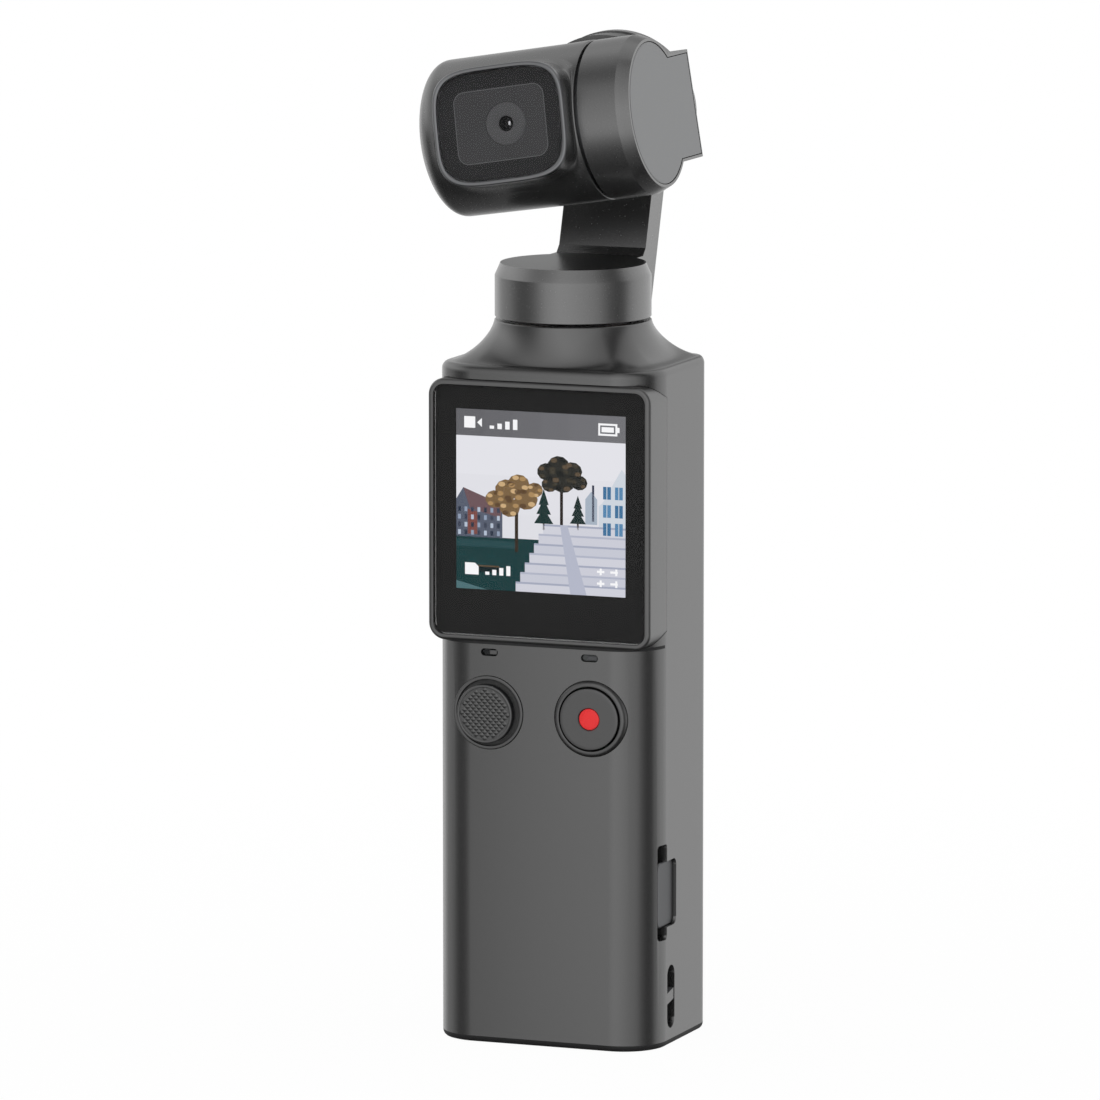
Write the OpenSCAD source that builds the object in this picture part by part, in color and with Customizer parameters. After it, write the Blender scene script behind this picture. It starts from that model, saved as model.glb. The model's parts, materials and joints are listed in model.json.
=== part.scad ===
// Pocket camera on a three-axis stabiliser: a hand-size handle with a square touch screen,
// a thumb stick and a record button, and on top of it a pan motor, a raked neck, a roll motor,
// a side arm with the tilt motor and a squared camera head.
// Millimetres. The origin lies on the handle's bottom face under the pan axis, the screen
// faces -Y, the accessory port faces +X and +Z is up. The head rests rolled and tilted up.

/* [Handle] */
// Width of the handle across the screen side
body_w = 30; // [29:0.1:32]
// Front face of the handle, in front of the pan axis
body_front = 11.7; // [11.5:0.05:12]
// Back face of the handle, behind the pan axis
body_back = 10; // [9.95:0.05:10.5]
// Radius of the two front long edges
front_r = 5.7; // [5:0.1:6.2]
// Radius of the two rear long edges
rear_r = 3.3; // [2.8:0.1:4]
// Wall of the handle tube
body_wall = 1.3; // [1:0.1:1.5]
// Strip of the tube left above the screen frame
top_strip = 0.85; // [0.7:0.05:1.2]
// Height of the rounding between the tube and the shoulder
top_round = 0.95; // [0.5:0.05:1]
// Height of the shoulder above the rounding
shoulder_h = 5; // [4.5:0.1:5.4]
// Exponent of the shoulder's hollow curve
shoulder_n = 1.5; // [1.2:0.1:2]
// Radius of the shoulder's round top
collar_r = 9.95; // [9.6:0.05:10]
// Depth of the shoulder's plug in the tube
plug_h = 1.8; // [1.2:0.1:2.2]
// Bore of the shoulder for the pan motor's base
collar_bore = 17; // [16.4:0.1:17.2]
// Bore of the shoulder under the ledge that carries the base
ledge_bore = 15; // [14:0.1:16]

/* [Bottom cap] */
// Height of the visible rim of the bottom cap
cap_h = 0.8; // [0.6:0.05:1.2]
// Rounding that runs round the bottom, inwards
cap_bevel = 0.55; // [0.4:0.05:0.75]
// Thickness of the cap's floor
cap_floor = 1.4; // [1.2:0.1:1.6]
// Depth of the lip that plugs into the handle
cap_lip = 2.2; // [1.5:0.1:3]
// Thickness of the lip
cap_lip_t = 1; // [0.8:0.1:1.3]
// Width of the charging socket
usb_w = 8.94; // [8.9:0.01:9]
// Thickness of the charging socket
usb_t = 3.2; // [3.1:0.01:3.3]
// Length of the charging socket
usb_l = 7.3; // [6.5:0.1:8]
// Sheet thickness of the charging socket's shell
usb_wall = 0.3; // [0.2:0.05:0.35]
// Width of the tongue in the charging socket
usb_tongue_w = 6.7; // [6.5:0.1:6.9]
// Thickness of the tongue
usb_tongue_t = 0.7; // [0.6:0.05:0.8]
// Distance of the socket behind the pan axis
usb_y = 0.4; // [0:0.1:0.8]
// Diameter of the microphone hole in the cap
mic_d = 1; // [0.6:0.1:1.4]
// Distance of the microphone hole from the middle
mic_x = 9; // [8:0.1:10]

/* [Screen module] */
// Front of the screen frame, in front of the pan axis
frame_front = 12; // [11.8:0.05:12.3]
// Height of the frame
frame_h = 33.3; // [32.5:0.1:33.5]
// Height of the frame's lower edge above the bottom
frame_z = 51.5; // [51.4:0.05:51.8]
// Corner radius of the frame seen from the front
frame_r = 2.15; // [1.4:0.05:2.4]
// Small rounding of the frame's front edge
frame_edge = 0.4; // [0.2:0.05:0.5]
// Rim of the frame round the cover glass
frame_rim = 0.76; // [0.7:0.02:1]
// Thickness of the cover glass
glass_t = 0.85; // [0.7:0.05:1]
// Corner radius of the cover glass
glass_r = 1.45; // [0.9:0.05:1.6]
// Depth of the glass below the frame's front
glass_sink = 0.04; // [0.02:0.01:0.1]
// Distance from the frame's lower edge up to the lit square
lit_foot = 6.6; // [6:0.1:7]
// Distance from the lit square up to the frame's upper edge
lit_head = 3.8; // [3.6:0.1:4.4]
// Gap between the glass and the display panel, for the print on the glass
print_gap = 0.14; // [0.1:0.02:0.2]
// Thickness of the display panel
panel_t = 1.2; // [0.8:0.1:1.4]
// Border of the display panel round the lit square
panel_border = 0.8; // [0.6:0.1:1.2]
// Height of the panel's foot below the lit square
panel_foot = 2.6; // [1.5:0.1:3]
// Back wall of the frame
frame_wall = 1; // [0.8:0.1:1.2]

/* [Controls] */
// Drop from the frame's lower edge to the stick and the button
ctrl_drop = 9; // [8.5:0.1:9.5]
// Distance of the stick and the button from the middle
ctrl_x = 6.9; // [6.7:0.05:7.1]
// Diameter of the stick's surround
cup_d = 9.4; // [9:0.1:9.6]
// Inner diameter of the surround
cup_in = 8.5; // [8.3:0.05:8.6]
// How far the rings stand out from the handle
ring_out = 0.2; // [0.1:0.05:0.3]
// Depth of the surround's cup below the handle's face
cup_deep = 1.9; // [1.85:0.05:2]
// Thickness of the cup's floor
cup_floor = 0.6; // [0.5:0.1:0.8]
// Diameter of the stick's cap
stick_d = 7.5; // [7.2:0.05:7.6]
// Thickness of the stick's cap
stick_t = 1; // [0.8:0.05:1.1]
// How far the cap's top stands out from the handle
stick_out = 1.5; // [1.4:0.05:1.7]
// Crown of the stick's cap
stick_crown = 0.3; // [0.2:0.05:0.4]
// Height of the ribs that cross on the cap
knurl_h = 0.14; // [0.08:0.02:0.2]
// Width of a rib on the cap
knurl_w = 0.3; // [0.2:0.05:0.4]
// Distance from rib to rib on the cap
knurl_pitch = 0.95; // [0.8:0.05:1.2]
// Diameter of the stick's stem
stem_d = 2; // [1.8:0.1:2.2]
// Depth of the stick's pivot below the handle's face
pivot_deep = 1.25; // [1.2:0.05:1.3]
// Outer diameter of the rocker ring round the stem
rocker_d = 5.6; // [5.2:0.1:5.8]
// Inner diameter of the rocker ring
rocker_in = 3.2; // [3:0.1:3.4]
// Thickness of the rocker ring
rocker_t = 0.7; // [0.6:0.05:0.75]
// Diameter of the rocker's pins
trunnion_d = 0.5; // [0.4:0.05:0.55]
// Diameter of the record button's ring
rec_ring_d = 9.7; // [9.4:0.1:9.8]
// Inner diameter of the record button's ring
rec_ring_in = 8.2; // [8.1:0.05:8.3]
// Diameter of the record button
rec_d = 7.84; // [7.6:0.02:7.86]
// How far the record button stands out from the handle
rec_out = 0.6; // [0.5:0.05:0.7]
// Thickness of the record button
rec_t = 1.7; // [1.5:0.1:2]
// Depth of the dish in the record button
rec_dish = 0.15; // [0.1:0.01:0.2]
// Diameter of the red dot
dot_d = 2.7; // [2.4:0.1:3]
// Thickness of the red dot
dot_t = 0.6; // [0.5:0.05:0.8]
// Diameter of the record button's plunger
plunger_d = 2.4; // [2:0.1:2.8]
// Travel of the record button
rec_travel = 0.35; // [0.2:0.05:0.4]
// Side of the record switch
switch_w = 4.5; // [4:0.1:5]
// Thickness of the record switch
switch_t = 0.95; // [0.9:0.05:1]
// Width of the two small slots under the screen
slot_w = 2.3; // [2:0.1:2.6]
// Height of the two small slots
slot_h = 0.95; // [0.8:0.05:1.05]
// Drop from the frame's lower edge to the slots
slot_drop = 1.3; // [1.2:0.05:1.5]
// Distance of the slots from the middle
slot_x = 6.77; // [6.4:0.01:7.2]

/* [Side port] */
// Depth of the accessory port into the side
port_deep = 5; // [4.8:0.1:5.4]
// Front edge of the port, in front of the pan axis
port_front = 8.1; // [8:0.05:8.2]
// Width of the port's main recess from front to back
port_w = 5.64; // [5.5:0.02:5.8]
// Height of the main recess
port_h = 8.45; // [8.2:0.05:8.7]
// Corner radius of the main recess
port_r = 0.9; // [0.6:0.1:1.2]
// Width of the guide slot
guide_w = 2.35; // [2.1:0.05:2.5]
// Height of the guide slot
guide_h = 12.25; // [11.8:0.05:12.5]
// Corner radius of the guide slot
guide_r = 0.5; // [0.3:0.05:0.7]
// Height of the main recess's middle above the bottom
port_z = 19.62; // [19.2:0.02:20]
// Height of the guide slot's middle above the bottom
guide_z = 19.98; // [19.5:0.02:20.4]
// Wall of the port's liner
liner_t = 0.6; // [0.5:0.05:0.7]
// Width of the contact block
contact_w = 3; // [2.6:0.1:3.4]
// Height of the contact block
contact_h = 6.4; // [5.8:0.1:6.6]
// Thickness of the contact block
contact_t = 0.45; // [0.35:0.05:0.5]
// Diameter of a contact pin
pin_d = 0.8; // [0.6:0.05:0.9]
// Distance from pin to pin
pin_pitch = 1.3; // [1.1:0.05:1.4]
// How far the contacts stand out of the block
pin_out = 0.15; // [0.1:0.05:0.2]

/* [Strap eyelet] */
// Width of the strap eyelet
eye_w = 2.6; // [2.4:0.05:2.8]
// Height of the strap eyelet
eye_h = 8.1; // [7.8:0.1:8.4]
// Height of the eyelet's middle above the bottom
eye_z = 6.25; // [6.1:0.05:6.4]
// Middle of the eyelet, in front of the pan axis
eye_y = 4.3; // [4.1:0.05:4.5]
// Height of the bar across the eyelet
eye_bar = 1.4; // [1.2:0.05:1.8]
// Rise of the bar from front to back
eye_slant = 0.25; // [0:0.05:0.5]
// Depth of the pocket behind the bar
eye_deep = 3.2; // [3:0.1:3.6]
// Wall of the eyelet's pocket
eye_wall = 0.5; // [0.4:0.05:0.6]

/* [Memory card] */
// Height of the card
card_h = 11; // [10.9:0.01:11.1]
// Length of the card
card_l = 15; // [14.9:0.01:15.1]
// Thickness of the card
card_t = 0.8; // [0.7:0.01:0.9]
// Height of the card's middle above the bottom
card_z = 27; // [25:0.5:30]
// Distance of the card in front of the pan axis
card_y = 4.3; // [4:0.1:4.6]
// Depth of the card's end below the handle's side
card_sink = 0.4; // [0.3:0.05:0.6]
// Sheet thickness of the card socket
socket_wall = 0.3; // [0.2:0.05:0.4]
// How far the card slides out
card_travel = 9; // [6:0.5:12]

/* [Inside the handle] */
// Thickness of the chassis plate
chassis_t = 0.9; // [0.8:0.1:1.1]
// Back face of the chassis plate, behind the pan axis
chassis_y = 1.4; // [1.3:0.05:1.5]
// Depth of the chassis rails
rail_d = 2.4; // [2:0.1:2.6]
// Width of a chassis rail
rail_w = 1; // [0.8:0.1:1.2]
// Gap between the chassis and the tube
rail_gap = 0.2; // [0.1:0.05:0.3]
// Height of the chassis's lower end above the bottom
chassis_z = 9.5; // [9:0.1:10.5]
// Gap between the chassis and the shoulder's plug
chassis_gap = 2.3; // [1.5:0.1:3]
// Space between the battery cell and the tube's sides
cell_side = 2.7; // [2.2:0.1:3.5]
// Thickness of the battery cell
cell_t = 6.8; // [6:0.1:7]
// Edge radius of the battery cell
cell_r = 2; // [1:0.1:3]
// Space left at each end of the battery cell
cell_gap = 4; // [3:0.5:8]
// Thickness of the circuit boards
board_t = 0.8; // [0.6:0.1:0.9]
// Gap between the main board and the chassis rails
board_side = 1.5; // [1:0.1:2]
// Space left at each end of the main board
board_gap = 3; // [2:0.5:6]
// Corner radius of the boards
board_r = 1; // [0.5:0.1:2]
// Side of the processor's shield can
can_w = 14; // [12:0.1:15]
// Height of the shield can above the board
can_t = 1.3; // [1:0.1:1.5]
// Space between the controls' board and the tube's sides
ctrl_side = 1.7; // [1.2:0.1:2.5]
// Height of the board under the controls
ctrl_board_h = 11; // [10:0.1:12]
// Diameter of a screw's head
screw_head_d = 2.4; // [2:0.1:2.8]
// Thickness of a screw's head
screw_head_t = 0.6; // [0.5:0.05:0.8]
// Diameter of a screw's shank
screw_d = 1.2; // [1:0.1:1.4]
// Diameter of the recess in a screw's head
screw_hex = 0.9; // [0.7:0.05:1]

/* [Motors] */
// Radius of the pan drum
pan_r = 9.92; // [9.6:0.02:10]
// Running gap at the pan seam
pan_gap = 0.45; // [0.35:0.01:0.55]
// Height of the pan drum
pan_h = 6.72; // [6.6:0.02:6.8]
// Height of the bevel at the end of a drum
bevel_h = 1.58; // [1.3:0.02:1.8]
// Width of the bevel at the end of a drum
bevel_w = 0.7; // [0.5:0.02:0.9]
// Wall of the drums
drum_wall = 0.87; // [0.8:0.01:0.95]
// Thickness of a drum's end wall
end_wall = 1; // [0.9:0.05:1.1]
// Thickness of the pan motor's base
base_t = 1.35; // [1.2:0.05:1.5]
// Diameter of the motor shafts
shaft_d = 2; // [1.8:0.05:2.2]
// Outer diameter of the ball bearings
brg_d = 5; // [4.8:0.05:5.2]
// Width of a ball bearing
brg_w = 1.2; // [1:0.05:1.3]
// Wall of the posts that hold the bearings
post_wall = 0.7; // [0.6:0.05:0.8]
// Gap between a post's end and what turns above it
post_gap = 0.4; // [0.3:0.05:0.5]
// Number of teeth of each stator
teeth = 9; // [6:3:12]
// Width of a stator tooth
tooth_w = 1.2; // [1.1:0.05:1.4]
// Width of a tooth's shoe
shoe_w = 2.6; // [2.2:0.1:3]
// Radial thickness of a tooth's shoe
shoe_t = 0.6; // [0.5:0.05:0.7]
// Height of the stator cores
core_h = 1.4; // [1.2:0.05:1.6]
// Width of the core's hub ring
hub_t = 0.9; // [0.7:0.05:1.1]
// Thickness of the copper round a tooth
coil_t = 0.4; // [0.3:0.05:0.45]
// Radial thickness of the magnets
magnet_t = 0.7; // [0.6:0.02:0.8]
// Length of the magnets along the axis
magnet_h = 2; // [1.8:0.05:2.2]
// Air gap between the stators and the magnets
air_gap = 0.4; // [0.3:0.02:0.5]

/* [Neck] */
// Width of the neck
neck_w = 11.8; // [11:0.1:12.4]
// Front of the neck at the drum's top, behind the pan axis
neck_foot_y = 9.3; // [9.25:0.01:9.5]
// Bevel where the neck meets the drum
neck_bevel = 0.92; // [0.7:0.02:1.1]
// Back of the neck at its lower end, behind the pan axis
neck_heel_y = 12.2; // [12:0.05:12.4]
// Height of the neck's lower end above the drum's lower edge
neck_heel_z = 0.15; // [0.1:0.05:0.5]
// Rake of the neck away from upright
neck_lean = 17.5; // [16.5:0.1:18]
// Width of the cover on the back of the neck
cover_w = 8.6; // [8:0.1:9]
// Height of that cover
cover_h = 12.5; // [10:0.1:13]
// Height of the cover's lower end above the neck's
cover_z = 2; // [1.5:0.1:3]
// Thickness of the covers
cover_t = 0.6; // [0.5:0.05:0.7]

/* [Roll and tilt] */
// Height of the roll and tilt axes above the pan drum
axis_rise = 17.5; // [17.3:0.05:18]
// Radius of the roll drum on top of the neck
roll_r = 10.55; // [10.4:0.05:10.8]
// Back face of the roll drum, behind the pan axis
roll_back = 17.8; // [17.6:0.05:18]
// Front face of the roll drum, behind the pan axis
roll_front = 14.7; // [14.65:0.05:14.75]
// Running gap between the roll drum and the side arm
roll_gap = 0.3; // [0.25:0.01:0.35]
// Thickness of the side arm's back plate
plate_t = 3.8; // [3.7:0.05:3.85]
// Radius of the tilt drum
tilt_r = 10.12; // [9.9:0.02:10.14]
// Radius of the side arm's back plate
plate_r = 10.35; // [10.2:0.05:10.4]
// Middle of the tilt seam, to the right of the roll axis
seam_x = 4.57; // [4.5:0.01:4.65]
// Running gap at the tilt seam
seam_gap = 0.46; // [0.4:0.02:0.5]
// Outer face of the side arm, to the right of the roll axis
arm_x = 11.51; // [11.4:0.01:11.6]
// Half the height of the side arm
arm_half = 6.86; // [6.7:0.02:7]
// Half the height of the arm's root on the back plate
arm_root = 5.4; // [5.2:0.05:5.6]
// Where the root starts to widen, to the right of the roll axis
arm_root_x = 8.4; // [8.2:0.1:8.6]
// Where the root has widened, to the right of the roll axis
arm_wide_x = 10.2; // [10:0.05:10.4]
// Thickness of the side arm
arm_t = 2.8; // [2.6:0.05:2.9]
// Radius of the side arm's rear corner
arm_r = 1.2; // [0.8:0.1:1.6]
// Rim of the side arm round its cover
arm_rim = 0.4; // [0.3:0.05:0.5]
// Radius of the neck's recess round the back plate
recess_r = 10.65; // [10.6:0.01:10.8]

/* [Camera head] */
// Radius of the head's round back
head_r = 10.12; // [9.95:0.02:10.14]
// Front of the window's trim, in front of the tilt axis
head_front = 12.9; // [12.7:0.05:13]
// Left end of the head, from the roll axis
head_left = 18.7; // [18.6:0.05:19]
// Length of the rounding at the head's left end
head_end = 3.5; // [3.3:0.1:4.2]
// Exponent of that rounding
end_n = 2.4; // [2:0.1:3]
// How much the underside rises towards the left end
head_rise = 0.3; // [0:0.05:0.6]
// Middle of the window, to the left of the roll axis
win_x = 4.8; // [4.7:0.01:4.85]
// Half the width of the snout and of the window's trim
trim_a = 8.9; // [8.85:0.01:8.92]
// Half the height of the snout and of the window's trim
trim_b = 7.48; // [7.4:0.02:7.6]
// Width of the window's trim
trim_w = 0.57; // [0.5:0.01:0.6]
// Depth of the window's trim
trim_t = 0.8; // [0.7:0.05:0.9]
// Exponent of the squared snout outline
win_n = 4.1; // [4:0.05:4.4]
// Sharpness of the hollow where the snout grows out of the round back
blend_n = 22; // [14:1:40]
// Wall of the head's shells
head_wall = 1; // [0.9:0.05:1.1]
// Split between the head's shells, behind the tilt axis
head_split = 4; // [3.5:0.1:5]
// Thickness of the window glass
win_t = 0.7; // [0.6:0.05:0.8]

/* [Lens] */
// Middle of the lens, to the left of the roll axis
lens_x = 4.1; // [4:0.05:4.3]
// Radius of the lens ring seen through the window
lens_ring_r = 2.7; // [2.5:0.05:2.9]
// Radius of the lens barrel
barrel_r = 3.6; // [3.4:0.05:3.8]
// Length of the lens barrel
barrel_l = 7; // [6.5:0.1:7.2]
// Radius of the lens opening
iris_r = 0.76; // [0.6:0.02:1]
// Radius of the front lens element
lens_r = 2; // [1.8:0.05:2.2]
// Thickness of the front lens element
lens_t = 0.9; // [0.7:0.05:1]
// Width of the raised field round the lens
mask_w = 12.3; // [11.8:0.1:12.6]
// Height of the raised field round the lens
mask_h = 9.2; // [9:0.1:9.6]
// Corner radius of the raised field
mask_r = 1.5; // [1:0.1:2]
// Thickness of the plate behind the window
mask_t = 0.4; // [0.3:0.05:0.5]
// Height of the raised field
mask_step = 0.15; // [0.1:0.01:0.2]
// Side of the image sensor
sensor_w = 7; // [6:0.1:7.6]
// Thickness of the image sensor
sensor_t = 0.9; // [0.7:0.05:1]
// Side of the sensor's board
sensor_board_w = 11; // [10:0.1:11.4]
// Wall of the tilt rotor's cup
rotor_wall = 0.6; // [0.5:0.05:0.65]

/* [Resting pose] */
// Roll of the side arm and head, right side up
roll_rest = 9.2; // [0:0.1:12]
// Tilt of the head, window up
tilt_rest = 8.2; // [0:0.1:12]

/* [Fits] */
// Gap between pieces that seat in each other
fit = 0.04; // [0.02:0.01:0.06]
// Radial clearance of the shafts in their bearings
run = 0.03; // [0.01:0.01:0.06]
// Gap between pieces that slide or swing
free = 0.15; // [0.1:0.01:0.2]
// How far cutting tools run past the face they cut
over = 0.5; // [0.2:0.1:1]

/* [Hidden] */
$fn = 64;
half_w = body_w / 2;
shell_top = frame_z + frame_h + top_strip;
inner_top = shell_top - plug_h;
crease_z = shell_top + top_round;
collar_top = crease_z + shoulder_h;
pan_z = collar_top + pan_gap;
pan_top = pan_z + pan_h;
axis_z = pan_top + axis_rise;
base_z = collar_top - base_t;
cut_h = collar_top * 1.2;
arc_steps = 7;
oval_steps = 64;
head_steps = 72;
face_y = -body_front;
in_x = half_w - body_wall;
frame_back = body_front - front_r;
frame_mid = frame_z + frame_h / 2;
glass_w = body_w - 2 * frame_rim;
glass_h = frame_h - 2 * frame_rim;
glass_y = -frame_front + glass_sink;
lit_w = frame_h - lit_foot - lit_head;
lit_z = frame_z + lit_foot;
panel_y = glass_y + glass_t + print_gap;
panel_w = lit_w + 2 * panel_border;
panel_h = lit_w + panel_border + panel_foot;
panel_mid = lit_z + lit_w + panel_border - panel_h / 2;
tray_y = panel_y + panel_t + fit;
ctrl_z = frame_z - ctrl_drop;
slot_z = frame_z - slot_drop;
cup_y = face_y + cup_deep;
pivot_y = face_y + pivot_deep;
stick_y = face_y - stick_out;
rec_y = face_y - rec_out;
plunger_y = rec_y + rec_t;
board_y = plunger_y + rec_travel + free + switch_t;
port_x = half_w - port_deep;
port_y = -port_front + port_w / 2;
guide_y = -port_front + guide_w / 2;
eye_x = half_w - eye_deep;
card_x = -half_w + card_sink;
chassis_front = chassis_y - chassis_t;
chassis_w = 2 * (in_x - rail_gap);
cell_w = 2 * (in_x - cell_side);
board_w = chassis_w - 2 * (rail_w + board_side);
ctrl_board_w = 2 * (in_x - ctrl_side);
chassis_h = inner_top - chassis_gap - chassis_z;
cell_z = chassis_z + cell_gap;
cell_h = chassis_h - 2 * cell_gap;
board_z = chassis_z + board_gap;
board_h = chassis_h - 2 * board_gap;
can_z = board_z + board_h - can_w;
main_y = chassis_front - fit;
shaft_r = shaft_d / 2;
brg_r = brg_d / 2;
post_in = brg_r + fit;
post_r = post_in + post_wall;
hub_r = post_r + fit + hub_t;
drum_in = pan_r - drum_wall;
magnet_r = drum_in - fit;
core_r = magnet_r - magnet_t - air_gap;
pan_roof = pan_top - end_wall;
pan_post_top = pan_roof - post_gap;
pan_core_z = pan_z + pan_gap * 3;
plate_back = roll_front - roll_gap;
plate_front = plate_back - plate_t;
roll_floor = roll_back - end_wall;
roll_in = roll_r - drum_wall;
cup_back = plate_front + end_wall;
roll_post_end = cup_back + post_gap;
roll_core_y = cup_back + 2 * post_gap + coil_t;
arm_in = tilt_r - drum_wall;
roll_magnet_r = arm_in - fit;
roll_core_r = roll_magnet_r - magnet_t - air_gap;
head_right = seam_x - seam_gap / 2;
drum_x = seam_x + seam_gap / 2;
tilt_floor = arm_x - end_wall;
rotor_r = arm_in - roll_gap;
rotor_in = rotor_r - rotor_wall;
tilt_magnet_r = rotor_in - fit;
tilt_core_r = tilt_magnet_r - magnet_t - air_gap;
rotor_end = tilt_floor - end_wall;
tilt_core_x = rotor_end - magnet_h;
tilt_post_end = head_right + seam_gap;
neck_slope = tan(neck_lean);
heel_z = pan_z + neck_heel_z;
neck_back_z = heel_z + (roll_back - neck_heel_y) / neck_slope;
neck_front_z = pan_top + neck_bevel + (roll_front - neck_foot_y - neck_bevel) / neck_slope;
glass_a = trim_a - trim_w;
glass_b = trim_b - trim_w;
snout_y = -head_front + trim_t;
mask_y = -head_front + win_t + 2 * fit;
lens_y = mask_y + mask_t + mask_step + fit;
sensor_y = lens_y + barrel_l + fit;

// Placing and outlines

module front_at(y) {
  translate([0, y, 0]) rotate([90, 0, 0]) children();
}

module side_at(x) {
  translate([x, 0, 0]) rotate([90, 0, 90]) children();
}

module roll_frame() {
  translate([0, 0, axis_z]) rotate([0, -roll_rest, 0]) children();
}

module tilt_frame() {
  roll_frame() rotate([-tilt_rest, 0, 0]) children();
}

module rounded(w, h, r) {
  square([w - 2 * r, h], center = true);
  square([w, h - 2 * r], center = true);
  for (sx = [-1, 1], sy = [-1, 1])
    translate([sx * (w / 2 - r), sy * (h / 2 - r)]) circle(r = r);
}

module slot(w, h) {
  long = max(w, h) - min(w, h);
  square([w > h ? long : w, w > h ? h : long], center = true);
  for (s = [-1, 1])
    translate(w > h ? [s * long / 2, 0] : [0, s * long / 2]) circle(r = min(w, h) / 2);
}

module tube(r_out, r_in, h) {
  difference() {
    cylinder(r = r_out, h = h);
    translate([0, 0, -over]) cylinder(r = r_in, h = h + 2 * over);
  }
}

module body_outline(e) {
  w = half_w - e;
  front = body_front - e;
  back = body_back - e;
  rf = front_r - e;
  rb = rear_r - e;
  translate([-w + rf, -front]) square([2 * (w - rf), front + back]);
  translate([-w, -front + rf]) square([2 * w, front + back - rf - rb]);
  translate([-w + rb, 0]) square([2 * (w - rb), back]);
  for (s = [-1, 1]) {
    translate([s * (w - rf), -front + rf]) circle(r = rf);
    translate([s * (w - rb), back - rb]) circle(r = rb);
  }
}

function arc_pts(cx, cy, r, a) =
  [for (i = [0:arc_steps]) [cx + r * cos(a + 90 * i / arc_steps), cy + r * sin(a + 90 * i / arc_steps)]];

function edge_pts(p, q, n) = [for (i = [1:n - 1]) p + (q - p) * i / n];

function body_pts(e, rear_share = 1) =
  let (w = half_w - e, front = body_front - e, back = body_back - e * rear_share,
    rf = front_r - e, rb = rear_r - e)
  concat(
    arc_pts(w - rb, back - rb, rb, 0), edge_pts([w - rb, back], [-w + rb, back], 8),
    arc_pts(-w + rb, back - rb, rb, 90), edge_pts([-w, back - rb], [-w, -front + rf], 5),
    arc_pts(-w + rf, -front + rf, rf, 180), edge_pts([-w + rf, -front], [w - rf, -front], 8),
    arc_pts(w - rf, -front + rf, rf, 270), edge_pts([w, -front + rf], [w, back - rb], 5));

function round_pts(pts, r) = [for (p = pts) p * r / norm(p)];

function at_z(pts, z) = [for (p = pts) [p[0], p[1], z]];

module loft(rings) {
  n = len(rings[0]);
  m = len(rings);
  points = [for (r = rings) each r];
  mid_arc = floor(arc_steps / 2);
  low = [[for (i = [n - 1:-1:0]) (i + mid_arc) % n]];
  high = [[for (i = [0:n - 1]) (m - 1) * n + (i + mid_arc) % n]];
  sides = [for (k = [0:m - 2], i = [0:n - 1])
    each [[k * n + i, k * n + (i + 1) % n, (k + 1) * n + (i + 1) % n],
          [k * n + i, (k + 1) * n + (i + 1) % n, (k + 1) * n + i]]];
  polyhedron(points = points, faces = [for (f = concat(low, high, sides)) [for (i = [len(f) - 1:-1:0]) f[i]]],
    convexity = 6);
}

// Squared oval outlines

function sgn_pow(v, p) = sign(v) * pow(abs(v), p);

function oval_pts(a, b, n, k) =
  [for (i = [0:k - 1]) [a * sgn_pow(cos(360 * i / k), 2 / n), b * sgn_pow(sin(360 * i / k), 2 / n)]];

module oval(a, b) {
  polygon(oval_pts(a, b, win_n, oval_steps));
}

// Motor parts, drawn along +Z

module stator(r) {
  tube(hub_r, post_r + fit, core_h);
  for (i = [0:teeth - 1]) rotate(i * 360 / teeth) {
    translate([hub_r - hub_t / 3, -tooth_w / 2, 0])
      cube([r - hub_r + hub_t / 3 - shoe_t / 2, tooth_w, core_h]);
    translate([r - shoe_t, -shoe_w / 2, 0]) cube([shoe_t, shoe_w, core_h]);
  }
}

module windings(r) {
  coil_in = hub_r + coil_t;
  coil_l = r - shoe_t - fit - coil_in;
  for (i = [0:teeth - 1]) rotate(i * 360 / teeth) difference() {
    translate([coil_in, -tooth_w / 2 - fit - coil_t, -fit - coil_t])
      cube([coil_l, tooth_w + 2 * (fit + coil_t), core_h + 2 * (fit + coil_t)]);
    translate([coil_in - over, -tooth_w / 2 - fit, -fit])
      cube([coil_l + 2 * over, tooth_w + 2 * fit, core_h + 2 * fit]);
  }
}

module bearing() {
  tube(brg_r, shaft_r + run, brg_w);
}

module drum_profile(r, r_in, h, wall) {
  polygon([[0, h], [r - bevel_w, h], [r, h - bevel_h], [r, 0], [r_in, 0], [r_in, h - wall], [0, h - wall]]);
}

module screw(l) {
  difference() {
    union() {
      cylinder(r = screw_head_d / 2, h = screw_head_t);
      translate([0, 0, -l]) cylinder(r = screw_d / 2, h = l + screw_head_t / 2);
    }
    translate([0, 0, screw_head_t / 2]) cylinder(r = screw_hex / 2, h = screw_head_t, $fn = 6);
  }
}

// Handle

module screen_prism(e, deep) {
  front_at(-frame_back) translate([0, frame_mid, 0]) linear_extrude(deep)
    rounded(body_w + 2 * e, frame_h + 2 * e, frame_r + e);
}

module port_outline(e) {
  translate([port_y, port_z]) rounded(port_w + 2 * e, port_h + 2 * e, port_r + e);
  translate([guide_y, guide_z]) rounded(guide_w + 2 * e, guide_h + 2 * e, guide_r + e);
}

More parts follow.
